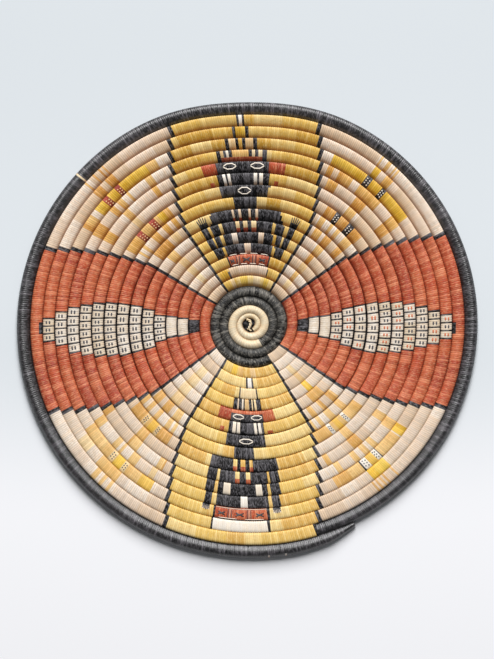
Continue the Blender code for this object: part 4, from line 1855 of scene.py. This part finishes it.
@dataclass
class Studio:
    """The floor, the lamp, the sky and the camera straight above the plaque."""

    camera_height: float = 2.4
    sensor_height: float = 36.0
    clip_end: float = 20.0
    view_centre: tuple[float, float] = (-2.0 * MM, -4.9 * MM)
    view_height: float = 573.3 * MM
    floor_half: float = 3.0
    floor_far: str = "cacfd3"
    floor_middle: str = "d5dade"
    floor_near: str = "efeff2"
    # The three tones are painted light on the table
    # Where the floor's middle tone ends, and where its far and its near tone are reached
    tone_ends: Row = (-0.01, 0.30, -0.18)
    floor_roughness: float = 0.9
    floor_specular: float = 0.1
    lamp_place: Point = (0.15, 2.85, 2.95)
    lamp_size: tuple[float, float] = (1.8, 3.1)
    lamp_power: float = 264.0
    sky_colour: Row = (0.95, 0.98, 1.0, 1.0)
    sky_strength: float = 0.13

    def build(self) -> None:
        """Makes everything around the plaque."""
        self.floor()
        self.lamp()
        self.sky()
        self.camera()

    def floor(self) -> None:
        """A smooth pale table whose colour carries painted light: a little darker towards the lamp and
        brighter towards the viewer's side.
        """
        mesh = bpy.data.meshes.new("table")
        half = self.floor_half
        corners = [(-half, -half, 0), (half, -half, 0), (half, half, 0), (-half, half, 0)]
        mesh.from_pydata(corners, [], [(0, 1, 2, 3)])
        table = add_object("table", mesh)
        paper, sheet, shader = new_finish("table_paper")
        _, up = sheet.split(sheet.node("ShaderNodeTexCoord").outputs["Object"])
        middle, far, near = self.tone_ends
        colour = linear(self.floor_middle)
        colour = sheet.mix(sheet.ramp(up, middle, far, 0.0, 1.0), colour, linear(self.floor_far))
        colour = sheet.mix(sheet.ramp(up, middle, near, 0.0, 1.0), colour, linear(self.floor_near))
        sheet.feed(shader["Base Color"], colour)
        shader["Roughness"].default_value = self.floor_roughness
        shader["Specular IOR Level"].default_value = self.floor_specular
        mesh.materials.append(paper)

    def lamp(self) -> None:
        """One large soft lamp beyond the top edge, wide by tall, that faces the plaque."""
        data = bpy.data.lights.new("key", "AREA")
        data.shape = "RECTANGLE"
        data.size, data.size_y = self.lamp_size
        data.energy = self.lamp_power
        lamp = add_object("key", data)
        lamp.location = x, y, z = self.lamp_place
        lamp.rotation_euler = (math.atan2(math.hypot(x, y), z), 0.0, math.atan2(y, x) + math.pi / 2)

    def sky(self) -> None:
        """An even sky, and the plain way of showing its light."""
        world = bpy.data.worlds.new("sky")
        world.use_nodes = True
        shade = world.node_tree.nodes["Background"].inputs
        shade["Color"].default_value = self.sky_colour
        shade["Strength"].default_value = self.sky_strength
        bpy.context.scene.world = world
        bpy.context.scene.view_settings.view_transform = "Standard"

    def camera(self) -> None:
        """A long lens straight above, whose frame is the photograph's."""
        data = bpy.data.cameras.new("overhead")
        data.sensor_fit = "VERTICAL"
        data.sensor_height = self.sensor_height
        data.lens = self.sensor_height * self.camera_height / self.view_height
        data.clip_end = self.clip_end
        eye = add_object("overhead", data)
        eye.location = (*self.view_centre, self.camera_height)
        bpy.context.scene.camera = eye


FIELDS = (
    SewnField("start_wrap", "natural_splint", Dye.NATURAL, False),
    SewnField("ring_wrap", "black_splint", Dye.FADED, False),
    SewnField("pale_panel_lower_right", "pale_splint", Dye.PALE, True),
    SewnField("red_wing_right", "red_splint", Dye.RED, False),
    SewnField("pale_panel_upper_right", "pale_splint", Dye.PALE, False),
    SewnField("yellow_panel_top", "yellow_splint", Dye.YELLOW, False),
    SewnField("pale_panel_upper_left", "pale_splint", Dye.PALE, False),
    SewnField("red_wing_left", "red_splint", Dye.RED, False),
    SewnField("pale_panel_lower_left", "pale_splint", Dye.PALE, True),
    SewnField("yellow_panel_bottom", "yellow_splint", Dye.YELLOW, True),
    SewnField("corn_ear_right", "corn_splint", Dye.RED, False),
    SewnField("corn_ear_left", "corn_splint", Dye.RED, False),
    SewnField("figure_top", "black_splint", Dye.YELLOW, False),
    SewnField("figure_bottom", "black_splint", Dye.YELLOW, True),
    SewnField("rim_wrap", "black_splint", Dye.WEATHERED, False),
)


def main() -> None:
    """Builds the studio and every piece of the plaque, in the order that it was sewn."""
    logging.basicConfig(level=logging.INFO, format="%(name)s: %(message)s")
    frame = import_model()
    LOG.info("frame: %d nodes", len(frame["nodes"]))
    Studio().build()
    path = CoilPath()
    plan = FieldPlan()
    chart = WeaverChart(path, plan)
    palette = Palette(EffectGroups())
    stretches = list(plan.stretches())
    sewing = CoilSewing(path, chart)
    GrassBundle(path).build()
    StartKnot(palette).build()
    for one in FIELDS:
        one.build(sewing, stretches, palette)
    embroidery = Embroidery(path, palette)
    for lower in (False, True):
        embroidery.build(chart, lower)


if __name__ == "__main__":
    main()
